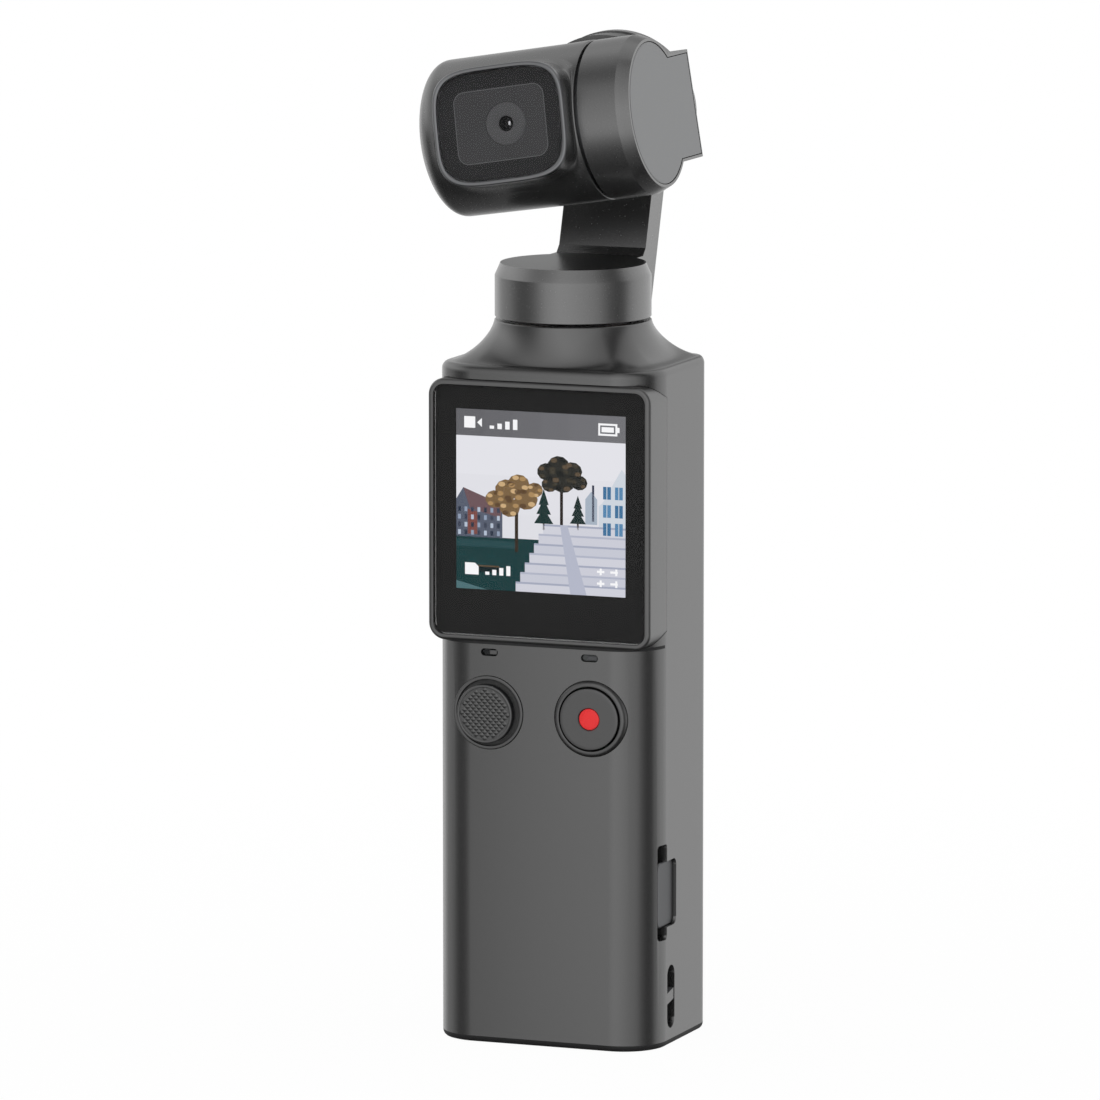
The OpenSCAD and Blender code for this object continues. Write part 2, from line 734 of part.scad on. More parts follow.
module handle_shell() {
  color("#4a4b4d") difference() {
    translate([0, 0, cap_h]) linear_extrude(shell_top - cap_h) body_outline(0);
    translate([0, 0, -over]) linear_extrude(cut_h) body_outline(body_wall);
    screen_prism(fit, front_r + over);
    for (s = [-1, 1]) {
      front_at(face_y + body_wall + over) translate([s * slot_x, slot_z, 0])
        linear_extrude(body_wall + 2 * over) slot(slot_w, slot_h);
    }
    front_at(cup_y + cup_floor + fit) translate([-ctrl_x, ctrl_z, 0])
      cylinder(r = cup_d / 2 + fit, h = cup_deep + cup_floor + fit + over);
    front_at(cup_y) translate([ctrl_x, ctrl_z, 0]) cylinder(r = rec_ring_d / 2 + fit, h = cup_deep + over);
    side_at(port_x) linear_extrude(port_deep + over) port_outline(0);
    side_at(eye_x) translate([-eye_y, eye_z, 0]) linear_extrude(eye_deep + over) slot(eye_w, eye_h);
    side_at(-half_w - over) translate([-card_y, card_z, 0]) linear_extrude(body_wall + 2 * over)
      square([card_t + 2 * free, card_h + 2 * free], center = true);
  }
}

module shoulder_collar() {
  rear_share = 0.05;
  round_rings = [for (i = [0:4])
    at_z(body_pts(top_round * (1 - cos(90 * i / 4)), rear_share), shell_top + top_round * sin(90 * i / 4))];
  rim = body_pts(top_round, rear_share);
  hub = round_pts(rim, collar_r);
  cone_rings = [for (i = [1:11])
    let (t = 90 - 90 * i / 11, g = 1 - pow(cos(t), 2 / shoulder_n), drop = pow(sin(t), 2 / shoulder_n))
    at_z([for (k = [0:len(rim) - 1]) hub[k] + (rim[k] - hub[k]) * g], collar_top - shoulder_h * drop)];
  color("#55565a") difference() {
    union() {
      loft(concat(round_rings, cone_rings));
      translate([0, 0, shell_top - plug_h]) linear_extrude(plug_h + over) body_outline(body_wall + fit);
    }
    translate([0, 0, shell_top - plug_h - over]) cylinder(r = ledge_bore / 2, h = cut_h);
    translate([0, 0, base_z]) cylinder(r = collar_bore / 2, h = cut_h);
    translate([0, fit, 0]) screen_prism(fit, front_r + over);
  }
}

function toe_pts(r) = concat([[0, 0]],
  [for (i = [0:4]) [r - cap_bevel * (1 - sin(90 * i / 4)), cap_h * (1 - cos(90 * i / 4))]], [[0, cap_h]]);

module toe_corner(x, y, r) {
  for (s = [-1, 1]) translate([s * x, y, 0]) rotate_extrude() polygon(toe_pts(r));
}

module toe_block() {
  toe_corner(half_w - front_r, -body_front + front_r, front_r);
  toe_corner(half_w - rear_r, body_back - rear_r, rear_r);
  side_at(-half_w + front_r) linear_extrude(2 * (half_w - front_r))
    mirror([1, 0]) polygon(toe_pts(body_front));
  side_at(-half_w + rear_r) linear_extrude(2 * (half_w - rear_r)) polygon(toe_pts(body_back));
  for (s = [0, 1]) front_at(body_back - rear_r) linear_extrude(body_front + body_back - front_r - rear_r)
    mirror([s, 0]) polygon(toe_pts(half_w));
}

module bottom_cap() {
  color("#3c3d3f") difference() {
    union() {
      toe_block();
      translate([0, 0, cap_h / 2]) linear_extrude(cap_h / 2 + cap_lip) body_outline(body_wall + fit);
    }
    translate([0, 0, cap_floor]) linear_extrude(cut_h) body_outline(body_wall + fit + cap_lip_t);
    translate([0, usb_y, -over]) linear_extrude(cut_h) slot(usb_w + 2 * fit, usb_t + 2 * fit);
    translate([mic_x, usb_y, -over]) cylinder(r = mic_d / 2, h = cut_h);
    side_at(eye_x - eye_wall - fit) translate([-eye_y, eye_z, 0]) linear_extrude(eye_deep + over)
      slot(eye_w + 2 * (eye_wall + fit), eye_h + 2 * (eye_wall + fit));
  }
}

module usb_c_receptacle() {
  color("#b8babd") translate([0, usb_y, fit]) {
    difference() {
      linear_extrude(usb_l) slot(usb_w, usb_t);
      translate([0, 0, -over]) linear_extrude(usb_l - usb_wall + over)
        slot(usb_w - 2 * usb_wall, usb_t - 2 * usb_wall);
    }
    translate([-usb_tongue_w / 2, -usb_tongue_t / 2, usb_wall * 2])
      cube([usb_tongue_w, usb_tongue_t, usb_l - usb_wall * 3]);
  }
}

// Screen

module screen_frame() {
  color("#2f3033") difference() {
    hull() {
      screen_prism(0, frame_front - frame_back - frame_edge);
      screen_prism(-frame_edge * 0.3, frame_front - frame_back - frame_edge * 0.3);
      screen_prism(-frame_edge, frame_front - frame_back);
    }
    front_at(glass_y + glass_t) translate([0, frame_mid, 0]) linear_extrude(glass_t + over)
      rounded(glass_w + 2 * fit, glass_h + 2 * fit, glass_r);
    front_at(tray_y) translate([0, panel_mid, 0]) linear_extrude(panel_t + glass_t + over)
      rounded(panel_w + 2 * fit, panel_h + 2 * fit, glass_r / 2);
    front_at(-frame_back + over) translate([0, frame_mid, 0])
      linear_extrude(-frame_back + over - tray_y - frame_wall)
      rounded(panel_w, frame_h - 4 * frame_wall, glass_r);
  }
}

module display_glass() {
  color("#17181a") front_at(glass_y + glass_t) translate([0, frame_mid, 0]) linear_extrude(glass_t)
    rounded(glass_w, glass_h, glass_r);
}

module display_panel() {
  color("#7fa6c8") front_at(panel_y + panel_t) translate([0, panel_mid, 0]) linear_extrude(panel_t)
    rounded(panel_w, panel_h, glass_r / 2);
}

// Controls

module at_stick() {
  translate([-ctrl_x, 0, ctrl_z]) children();
}

module at_record() {
  translate([ctrl_x, 0, ctrl_z]) children();
}

module joystick_cup() {
  color("#2a2b2d") at_stick() difference() {
    front_at(cup_y + cup_floor) cylinder(r = cup_d / 2, h = cup_deep + cup_floor + ring_out);
    front_at(cup_y) cylinder(r = cup_in / 2, h = cup_deep + ring_out + over);
    front_at(cup_y + cup_floor + over) cylinder(r = rocker_in / 2 + free, h = cup_floor + 2 * over);
    side_at(-cup_d) translate([pivot_y, 0, 0]) cylinder(r = trunnion_d / 2 + run, h = cup_d * 2);
  }
}

module joystick_rocker() {
  color("#8b8d90") at_stick() difference() {
    union() {
      front_at(pivot_y + rocker_t / 2) cylinder(r = rocker_d / 2, h = rocker_t);
      side_at(-cup_d / 2 + free) translate([pivot_y, 0, 0])
        cylinder(r = trunnion_d / 2, h = cup_d - 2 * free);
    }
    front_at(pivot_y + rocker_t) cylinder(r = rocker_in / 2, h = rocker_t * 2);
    translate([0, pivot_y, -rocker_d]) cylinder(r = trunnion_d / 2 + run, h = rocker_d * 2);
  }
}

module joystick_stem() {
  color("#6a6c70") at_stick() {
    front_at(pivot_y + rocker_t / 2)
      cylinder(r = stem_d / 2, h = pivot_y + rocker_t / 2 - stick_y - stick_t / 2);
    translate([0, pivot_y, -rocker_d / 2 + free]) cylinder(r = trunnion_d / 2, h = rocker_d - 2 * free);
  }
}

module joystick_cap() {
  color("#1f2022") at_stick() difference() {
    union() {
      front_at(stick_y + stick_t) cylinder(r = stick_d / 2, h = stick_t - stick_crown);
      front_at(stick_y + stick_crown)
        cylinder(r1 = stick_d / 2, r2 = stick_d / 2 - stick_crown, h = stick_crown - knurl_h);
      intersection() {
        front_at(stick_y + stick_crown) cylinder(r = stick_d / 2 - stick_crown, h = stick_crown);
        for (a = [45, 135]) rotate([0, a, 0])
          for (i = [-3:3]) translate([i * knurl_pitch - knurl_w / 2, stick_y, -stick_d / 2])
            cube([knurl_w, stick_crown, stick_d]);
      }
    }
    front_at(stick_y + stick_t + over) cylinder(r = stem_d / 2 + fit, h = stick_t / 2 + over);
  }
}

module record_ring() {
  color("#2a2b2d") at_record() front_at(face_y + body_wall)
    tube(rec_ring_d / 2, rec_ring_in / 2, body_wall + ring_out);
}

module record_button() {
  color("#3a3b3e") at_record() difference() {
    union() {
      front_at(rec_y + rec_t - rec_dish) cylinder(r = rec_d / 2, h = rec_t - rec_dish * 2);
      front_at(rec_y + rec_dish) cylinder(r1 = rec_d / 2, r2 = rec_d / 2 - rec_dish, h = rec_dish);
      front_at(plunger_y) cylinder(r = plunger_d / 2, h = rec_t / 2);
    }
    front_at(rec_y + rec_dish) cylinder(r = rec_d / 2 - rec_dish * 3, h = over);
    front_at(rec_y + dot_t) cylinder(r = dot_d / 2 + fit, h = dot_t + over);
  }
}

module record_dot() {
  color("#d8262b") at_record() front_at(rec_y + dot_t - fit)
    cylinder(r = dot_d / 2, h = dot_t - fit - rec_dish / 2);
}

module record_switch() {
  color("#aeb1b4") at_record() {
    front_at(board_y) translate([0, 0, fit]) linear_extrude(switch_t - fit - rec_dish)
      rounded(switch_w, switch_w, switch_w / 8);
    front_at(board_y - fit) cylinder(r = plunger_d / 2, h = switch_t - fit);
  }
}

module control_board() {
  color("#1d5b3a") front_at(board_y + board_t) translate([0, ctrl_z, 0]) linear_extrude(board_t)
    rounded(ctrl_board_w, ctrl_board_h, board_r);
}

module status_light_pipe() {
  color("#7d8a83") front_at(face_y + body_wall) translate([slot_x, slot_z, 0])
    linear_extrude(body_wall - fit) slot(slot_w - 2 * fit, slot_h - 2 * fit);
}

module microphone_mesh() {
  color("#17181a") front_at(face_y + body_wall) translate([-slot_x, slot_z, 0])
    linear_extrude(body_wall / 2) slot(slot_w - 2 * fit, slot_h - 2 * fit);
}

// Side port and strap eyelet

module port_liner() {
  color("#55565a") difference() {
    intersection() {
      side_at(port_x - liner_t) linear_extrude(port_deep) port_outline(liner_t);
      linear_extrude(cut_h) body_outline(body_wall + fit);
    }
    side_at(port_x) linear_extrude(port_deep + over) port_outline(0);
  }
}

module port_contact_block() {
  color("#1b1c1e") side_at(port_x + fit) translate([port_y, port_z, 0])
    linear_extrude(contact_t) rounded(contact_w, contact_h, port_r);
}

module port_contacts() {
  color("#c9a24a") for (i = [-2:2])
    side_at(port_x + fit + contact_t) translate([port_y, port_z + i * pin_pitch, 0])
      cylinder(r = pin_d / 2, h = pin_out);
}

module lanyard_pocket() {
  color("#3c3d3f") union() {
    difference() {
      intersection() {
        side_at(eye_x - eye_wall) translate([-eye_y, eye_z, 0]) linear_extrude(eye_deep)
          slot(eye_w + 2 * eye_wall, eye_h + 2 * eye_wall);
        linear_extrude(cut_h) body_outline(body_wall + fit);
      }
      side_at(eye_x) translate([-eye_y, eye_z, 0]) linear_extrude(eye_deep + over) slot(eye_w, eye_h);
    }
    side_at(half_w - body_wall - eye_wall) translate([-eye_y, eye_z, 0])
      linear_extrude(body_wall + eye_wall - fit * 2)
      polygon([[-eye_w / 2 + fit, -eye_bar / 2 - eye_slant], [eye_w / 2 - fit, -eye_bar / 2 + eye_slant],
        [eye_w / 2 - fit, eye_bar / 2 + eye_slant], [-eye_w / 2 + fit, eye_bar / 2 - eye_slant]]);
    side_at(in_x - eye_wall) translate([-eye_y, eye_z, 0]) linear_extrude(eye_wall - fit)
      polygon([[-eye_w / 2 - fit, -eye_bar / 2 - eye_slant], [eye_w / 2 + fit, -eye_bar / 2 + eye_slant],
        [eye_w / 2 + fit, eye_bar / 2 + eye_slant], [-eye_w / 2 - fit, eye_bar / 2 - eye_slant]]);
  }
}

// Memory card

module card_socket() {
  wrap = socket_wall + free / 3;
  color("#9fa2a6") difference() {
    side_at(-in_x + fit) translate([-card_y, card_z, 0]) linear_extrude(card_l + socket_wall * 2)
      square([card_t + 2 * wrap, card_h + 2 * wrap], center = true);
    side_at(-in_x - over) translate([-card_y, card_z, 0]) linear_extrude(card_l + over)
      square([card_t + 2 * (wrap - socket_wall), card_h + 2 * (wrap - socket_wall)], center = true);
  }
}

module memory_card() {
  color("#1a1b1d") side_at(card_x) translate([-card_y, card_z, 0]) linear_extrude(card_l - card_sink)
    square([card_t, card_h], center = true);
}

// Inside the handle

module inner_chassis() {
  color("#8f9194") difference() {
    translate([-chassis_w / 2, chassis_front, chassis_z]) union() {
      cube([chassis_w, chassis_t, chassis_h]);
      for (x = [0, chassis_w - rail_w])
        translate([x, chassis_t - rail_d, 0]) cube([rail_w, rail_d, chassis_h]);
    }
    screw_holes(screw_d / 2 + fit);
  }
}

module at_screws() {
  for (sx = [-1, 1], z = [board_z + screw_head_d, board_z + board_h - screw_head_d])
    translate([sx * (board_w / 2 - screw_head_d), main_y - board_t, z]) children();
}

module screw_holes(r) {
  at_screws() front_at(board_t * 4) cylinder(r = r, h = board_t * 6);
}

module chassis_screws() {
  color("#c2c4c7") at_screws() front_at(-fit) screw(board_t + chassis_t - fit);
}

module main_board() {
  color("#1d5b3a") difference() {
    front_at(main_y) translate([0, board_z + board_h / 2, 0]) linear_extrude(board_t)
      rounded(board_w, board_h, board_r);
    screw_holes(screw_d / 2 + fit);
  }
}

module processor_shield() {
  color("#b8babd") front_at(main_y - board_t - fit) translate([0, can_z, 0]) linear_extrude(can_t)
    rounded(can_w, can_w, board_r);
}

module battery_cell() {
  color("#3a4d66") translate([0, chassis_y + fit + cell_t / 2, cell_z]) linear_extrude(cell_h)
    rounded(cell_w, cell_t, cell_r);
}

// Pan motor, handle side

module pan_motor_base() {
  color("#6f7276") translate([0, 0, base_z]) difference() {
    union() {
      cylinder(r = collar_bore / 2 - fit, h = base_t);
      cylinder(r = post_r, h = pan_post_top - base_z);
    }
    translate([0, 0, -over]) cylinder(r = post_in, h = cut_h);
  }
}

module pan_stator_core() {
  color("#5d6064") translate([0, 0, pan_core_z]) stator(core_r);
}

module pan_windings() {
  color("#b4652d") translate([0, 0, pan_core_z]) windings(core_r);
}

module pan_bearings() {
  color("#d0d2d4") {
    translate([0, 0, base_z]) bearing();
    translate([0, 0, pan_post_top - brg_w]) bearing();
  }
}

// Pan body: drum, neck and roll drum

module neck_profile(e) {
  polygon([[neck_foot_y - pan_r / 2, heel_z], [neck_heel_y, heel_z], [roll_back, neck_back_z],
    [roll_back, axis_z], [roll_front, axis_z], [roll_front, neck_front_z], [neck_foot_y + neck_bevel, pan_top + neck_bevel],
    [neck_foot_y, pan_top], [neck_foot_y - pan_r / 2, pan_top]]);
}

module pan_yoke() {
  color("#505256") difference() {
    union() {
      translate([0, 0, pan_z]) rotate_extrude() drum_profile(pan_r, drum_in, pan_h, end_wall);
      intersection() {
        side_at(-neck_w / 2) linear_extrude(neck_w) neck_profile();
        union() {
          translate([-neck_w, 0, pan_top - over]) cube([neck_w * 2, roll_back, axis_z - pan_top + over]);
          difference() {
            translate([-neck_w, 0, heel_z]) cube([neck_w * 2, roll_back, pan_top - heel_z]);
            translate([0, 0, pan_z - over]) cylinder(r = pan_r - drum_wall / 2, h = pan_h + over * 2);
          }
        }
      }
      translate([0, roll_front, axis_z]) rotate([-90, 0, 0]) rotate_extrude()
        drum_profile(roll_r, roll_in, roll_back - roll_front, end_wall);
      translate([0, roll_post_end, axis_z]) rotate([-90, 0, 0])
        cylinder(r = post_r, h = roll_floor - roll_post_end + over);
    }
    translate([0, 0, pan_roof - over]) cylinder(r = shaft_r + fit, h = end_wall);
    translate([0, plate_front - over, axis_z]) rotate([-90, 0, 0]) difference() {
      cylinder(r = recess_r, h = roll_front - plate_front + over);
      translate([0, 0, -over]) cylinder(r = post_r, h = roll_back);
    }
    translate([0, roll_front - over, axis_z]) rotate([-90, 0, 0]) difference() {
      cylinder(r = roll_in, h = roll_floor - roll_front + over);
      translate([0, 0, -over]) cylinder(r = post_r, h = roll_back);
    }
    translate([0, plate_front, axis_z]) rotate([-90, 0, 0])
      cylinder(r = post_in, h = roll_floor - plate_front);
    neck_cover_solid(fit);
  }
}

module neck_cover_solid(e) {
  z0 = heel_z + cover_z - e;
  z1 = heel_z + cover_z + cover_h + e;
  function back_y(z) = neck_heel_y + (z - heel_z) * neck_slope;
  side_at(-cover_w / 2 - e) linear_extrude(cover_w + 2 * e)
    polygon([[back_y(z0) - cover_t - e, z0], [back_y(z0) + (e > 0 ? over : 0), z0],
      [back_y(z1) + (e > 0 ? over : 0), z1], [back_y(z1) - cover_t - e, z1]]);
}

module neck_cover() {
  color("#3c3d3f") neck_cover_solid(0);
}

module pan_magnet_ring() {
  color("#a9acaf") translate([0, 0, pan_core_z + core_h / 2 - magnet_h / 2])
    tube(magnet_r, magnet_r - magnet_t, magnet_h);
}

module pan_shaft() {
  color("#d8dadc") translate([0, 0, base_z + fit])
    cylinder(r = shaft_r, h = pan_roof - base_z + end_wall / 3);
}

module roll_stator_core() {
  color("#5d6064") translate([0, roll_core_y, axis_z]) rotate([-90, 0, 0]) stator(roll_core_r);
}

module roll_windings() {
  color("#b4652d") translate([0, roll_core_y, axis_z]) rotate([-90, 0, 0]) windings(roll_core_r);
}

module roll_bearings() {
  color("#d0d2d4") {
    translate([0, roll_post_end, axis_z]) rotate([-90, 0, 0]) bearing();
    translate([0, roll_floor - brg_w - fit, axis_z]) rotate([-90, 0, 0]) bearing();
  }
}

// Roll body: back plate, side arm and tilt drum

module arm_root_outline() {
  polygon([[0, -arm_root], [arm_root_x, -arm_root], [arm_wide_x, -arm_half], [arm_x, -arm_half],
    [arm_x, arm_half], [arm_wide_x, arm_half], [arm_root_x, arm_root], [0, arm_root]]);
}

module arm_plan() {
  front = tilt_r * 2;
  translate([-plate_r - over, -front]) square([plate_r + over + arm_x - arm_r, front + plate_back]);
  translate([0, -front]) square([arm_x, front + plate_back - arm_r]);
  translate([arm_x - arm_r, plate_back - arm_r]) circle(r = arm_r);
}

module keyhole(r, half, back) {
  circle(r = r);
  translate([0, -half]) square([back, 2 * half]);
}

module roll_arm() {
  color("#505256") roll_frame() difference() {
    intersection() {
      union() {
        translate([0, plate_front, 0]) rotate([-90, 0, 0]) cylinder(r = plate_r, h = plate_t);
        front_at(plate_back) linear_extrude(plate_t) arm_root_outline();
        side_at(arm_x - arm_t) linear_extrude(arm_t)
          translate([0, -arm_half]) square([plate_back, 2 * arm_half]);
        side_at(drum_x) rotate_extrude() drum_profile(tilt_r, arm_in, arm_x - drum_x, end_wall);
        side_at(tilt_post_end) cylinder(r = post_r, h = tilt_floor - tilt_post_end + over);
      }
      translate([0, 0, -plate_r - over]) linear_extrude(2 * (plate_r + over)) arm_plan();
    }
    translate([0, cup_back, 0]) rotate([-90, 0, 0]) cylinder(r = arm_in, h = plate_t);
    translate([0, cup_back - end_wall / 2, 0]) rotate([-90, 0, 0]) cylinder(r = shaft_r + fit, h = plate_t);
    side_at(drum_x - over) difference() {
      cylinder(r = arm_in, h = tilt_floor - drum_x + over);
      cylinder(r = post_r, h = tilt_floor);
    }
    side_at(tilt_post_end - over) cylinder(r = post_in, h = tilt_floor - tilt_post_end + over);
    side_at(arm_x - cover_t) linear_extrude(cover_t + over) side_cover_outline(fit);
  }
}

module side_cover_outline(e) {
  keyhole(tilt_r - bevel_w - arm_rim + e, arm_half - arm_rim + e, plate_back - arm_r + e);
}

module side_cover() {
  color("#6a6c70") roll_frame() side_at(arm_x - cover_t + fit)
    linear_extrude(cover_t - fit) side_cover_outline(0);
}

module roll_magnet_ring() {
  color("#a9acaf") roll_frame() translate([0, roll_core_y + core_h / 2 - magnet_h / 2, 0]) rotate([-90, 0, 0])
    tube(roll_magnet_r, roll_magnet_r - magnet_t, magnet_h);
}

module roll_shaft() {
  color("#d8dadc") translate([0, cup_back - end_wall / 2 + fit, axis_z]) rotate([-90, 0, 0])
    cylinder(r = shaft_r, h = roll_floor - cup_back);
}

module tilt_stator_core() {
  color("#5d6064") roll_frame() side_at(tilt_core_x) stator(tilt_core_r);
}

module tilt_windings() {
  color("#b4652d") roll_frame() side_at(tilt_core_x) windings(tilt_core_r);
}

module tilt_bearings() {
  color("#d0d2d4") roll_frame() {
    side_at(tilt_post_end) bearing();
    side_at(tilt_floor - brg_w - fit) bearing();
  }
}

// Camera head: a round back that grows into a squared snout

function end_share(x) =
  let (t = (-x - (head_left - head_end)) / head_end)
  t <= 0 ? 1 : pow(max(0, 1 - pow(t, end_n)), 1 / end_n);

function snout_half(x) =
  let (u = abs(x + win_x) / trim_a) u >= 1 ? 0 : trim_b * pow(1 - pow(u, win_n), 1 / win_n);

function soft_max(a, b) = a * pow(1 + pow(b / a, blend_n), 1 / blend_n);

function head_reach(x, a) =
  let (b = snout_half(x), c = max(0.001, -cos(a)), s = max(0.001, abs(sin(a))), r = head_r * end_share(x),
    box = -cos(a) <= 0 ? 0 : min(-snout_y / c, b / s))
  b <= 0 ? r : max(r, box >= r * 0.8 ? min(soft_max(r, box), -snout_y / c) : r);

function head_ring(x, k) =
  [for (i = [0:k - 1])
    let (a = 360 * i / k, r = head_reach(x, a), lift = sin(a) < 0 ? head_rise * -x / head_left * -sin(a) : 0)
    [x, r * cos(a), r * sin(a) + max(0, lift)]];

module head_solid() {
  xs = concat([for (i = [0:9]) -head_left + head_end * (1 - cos(9 * i + 3))],
    [for (i = [0:7]) -win_x - trim_a * cos(11 * i + 1)],
    [for (i = [0:7]) -win_x + trim_a * sin(11.25 * i + 11)], [-win_x + trim_a + fit, head_right]);
  stations = [for (i = [0:len(xs) - 1]) if (i == 0 || xs[i] > max([for (k = [0:i - 1]) xs[k]])) xs[i]];
  loft([for (x = stations) head_ring(x, head_steps)]);
}

module head_cavity() {
  r = head_r - head_wall;
  side_at(-head_left + head_end) cylinder(r = r, h = head_left - head_end + head_right - head_wall);
  side_at(-head_left + head_wall * 2) cylinder(r1 = r - head_end, r2 = r, h = head_end - head_wall * 2 + fit);
  front_at(0) translate([-win_x, 0, 0]) linear_extrude(-snout_y - fit)
    rounded(2 * (trim_a - 2 * head_wall), 2 * (trim_b - head_wall * 1.2), head_wall * 3);
}

module head_cuts() {
  head_cavity();
  front_at(0) translate([-win_x, 0, 0]) linear_extrude(head_front) rounded(2 * (trim_a - 2 * head_wall),
    2 * (trim_b - head_wall * 1.5), head_wall * 3);
  side_at(head_right - head_wall - over) cylinder(r = shaft_r + fit, h = head_wall + 2 * over);
}

module head_side(rear) {
  reach = head_left + head_front;
  difference() {
    head_solid();
    head_cuts();
    translate([-reach, rear ? head_split + fit / 2 - reach * 2 : head_split - fit / 2, -reach])
      cube([2 * reach, 2 * reach, 2 * reach]);
  }
}

module head_front_shell() {
  color("#4a4b4d") tilt_frame() head_side(false);
}

module head_rear_shell() {
  color("#4a4b4d") tilt_frame() head_side(true);
}

module at_window(y) {
  front_at(y) translate([-win_x, 0, 0]) children();
}

module window_bezel() {
  color("#77787b") tilt_frame() at_window(snout_y) difference() {
    linear_extrude(trim_t) oval(trim_a, trim_b);
    translate([0, 0, -over]) linear_extrude(trim_t + 2 * over) oval(glass_a, glass_b);
  }
}

module window_glass() {
  color("#26272a") tilt_frame() at_window(-head_front + fit + win_t) linear_extrude(win_t)
    oval(glass_a - fit, glass_b - fit);
}

module lens_mask() {
  color("#111214") tilt_frame() difference() {
    at_window(lens_y - fit) {
      linear_extrude(mask_t)
        rounded(2 * (trim_a - 2 * head_wall - fit), 2 * (trim_b - head_wall * 1.5 - fit), head_wall * 3);
      linear_extrude(mask_t + mask_step) rounded(mask_w, mask_h, mask_r);
    }
    front_at(0) translate([-lens_x, 0, 0]) cylinder(r = lens_ring_r + fit, h = head_front);
  }
}

module lens_barrel() {
  color("#1b1c1e") tilt_frame() front_at(lens_y + barrel_l) translate([-lens_x, 0, 0]) difference() {
    union() {
      cylinder(r = barrel_r, h = barrel_l);
      cylinder(r = lens_ring_r, h = barrel_l + mask_t);
    }
    translate([0, 0, -over]) cylinder(r = barrel_r * 0.7, h = barrel_l / 2);
    translate([0, 0, -over]) cylinder(r = iris_r, h = barrel_l * 2);
    translate([0, 0, barrel_l + mask_t - lens_t]) cylinder(r = lens_r + fit, h = barrel_l);
  }
}

module lens_front_element() {
  color("#24303a") tilt_frame() front_at(lens_y - mask_t + lens_t - fit) translate([-lens_x, 0, 0])
    cylinder(r = lens_r, h = lens_t - 2 * fit);
}

module image_sensor() {
  color("#4b3b6b") tilt_frame() front_at(sensor_y + sensor_t) translate([-lens_x, 0, 0])
    linear_extrude(sensor_t) rounded(sensor_w, sensor_w, sensor_t / 2);
}

module sensor_board() {
  color("#1d5b3a") tilt_frame() front_at(sensor_y + sensor_t + fit + board_t) translate([-lens_x, 0, 0])
    linear_extrude(board_t) rounded(sensor_board_w, sensor_board_w, board_r);
}

module tilt_rotor_cup() {
  color("#8b8d90") tilt_frame() difference() {
    side_at(head_right) cylinder(r = rotor_r, h = rotor_end - head_right);
    side_at(head_right - over) cylinder(r = shaft_r + fit, h = arm_x);
    side_at(head_right + seam_gap / 2) cylinder(r = rotor_in, h = arm_x);
  }
}

module tilt_magnet_ring() {
  color("#a9acaf") tilt_frame() side_at(rotor_end - magnet_h)
    tube(tilt_magnet_r, tilt_magnet_r - magnet_t, magnet_h - fit);
}

module tilt_shaft() {
  color("#d8dadc") tilt_frame() side_at(head_right - head_wall * 2)
    cylinder(r = shaft_r, h = tilt_floor - head_right + head_wall * 2 - fit);
}

handle_shell();
shoulder_collar();
bottom_cap();
screen_frame();
display_glass();
display_panel();
joystick_cup();
record_ring();
record_switch();
control_board();
status_light_pipe();
microphone_mesh();
port_liner();
port_contact_block();
port_contacts();
lanyard_pocket();
battery_cell();
main_board();
processor_shield();
usb_c_receptacle();
card_socket();
inner_chassis();
chassis_screws();
pan_motor_base();
pan_stator_core();
pan_windings();
pan_bearings();
joystick_rocker();
joystick_stem();
joystick_cap();
record_button();
record_dot();
memory_card();
pan_yoke();
neck_cover();
pan_magnet_ring();
pan_shaft();
roll_stator_core();
roll_windings();
roll_bearings();
roll_arm();
side_cover();
roll_magnet_ring();
roll_shaft();
tilt_stator_core();
tilt_windings();
tilt_bearings();
head_front_shell();
head_rear_shell();
window_bezel();
window_glass();
lens_mask();
lens_barrel();
lens_front_element();
image_sensor();
sensor_board();
tilt_rotor_cup();
tilt_magnet_ring();
tilt_shaft();
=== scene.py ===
"""Pocket gimbal camera: finishes, fine outer skins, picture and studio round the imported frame.

Metres throughout, in the frame's axes: the screen faces -Y, the accessory port +X, +Z is up.
Sizes are written in millimetres and multiplied by MM where a mesh is made.
"""

import json
from math import acos, cos, hypot, pi, radians, sin

import bmesh
import bpy
import numpy as np
from mathutils import Matrix, Vector

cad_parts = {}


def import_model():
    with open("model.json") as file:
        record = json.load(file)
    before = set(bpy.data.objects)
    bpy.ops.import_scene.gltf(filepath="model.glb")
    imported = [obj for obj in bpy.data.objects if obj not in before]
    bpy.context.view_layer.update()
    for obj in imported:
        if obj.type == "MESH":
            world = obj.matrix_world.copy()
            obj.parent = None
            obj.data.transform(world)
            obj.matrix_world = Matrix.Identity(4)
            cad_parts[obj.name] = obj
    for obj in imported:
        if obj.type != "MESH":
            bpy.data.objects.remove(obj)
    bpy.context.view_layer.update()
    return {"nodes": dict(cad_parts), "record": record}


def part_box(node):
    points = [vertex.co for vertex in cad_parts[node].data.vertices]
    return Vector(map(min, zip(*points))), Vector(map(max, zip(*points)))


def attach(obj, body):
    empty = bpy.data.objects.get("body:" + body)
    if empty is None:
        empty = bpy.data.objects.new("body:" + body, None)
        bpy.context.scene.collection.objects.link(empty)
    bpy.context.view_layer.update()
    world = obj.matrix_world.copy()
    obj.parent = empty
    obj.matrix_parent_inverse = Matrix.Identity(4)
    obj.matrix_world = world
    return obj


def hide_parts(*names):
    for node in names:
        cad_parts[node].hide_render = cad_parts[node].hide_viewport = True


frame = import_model()

MM = 0.001

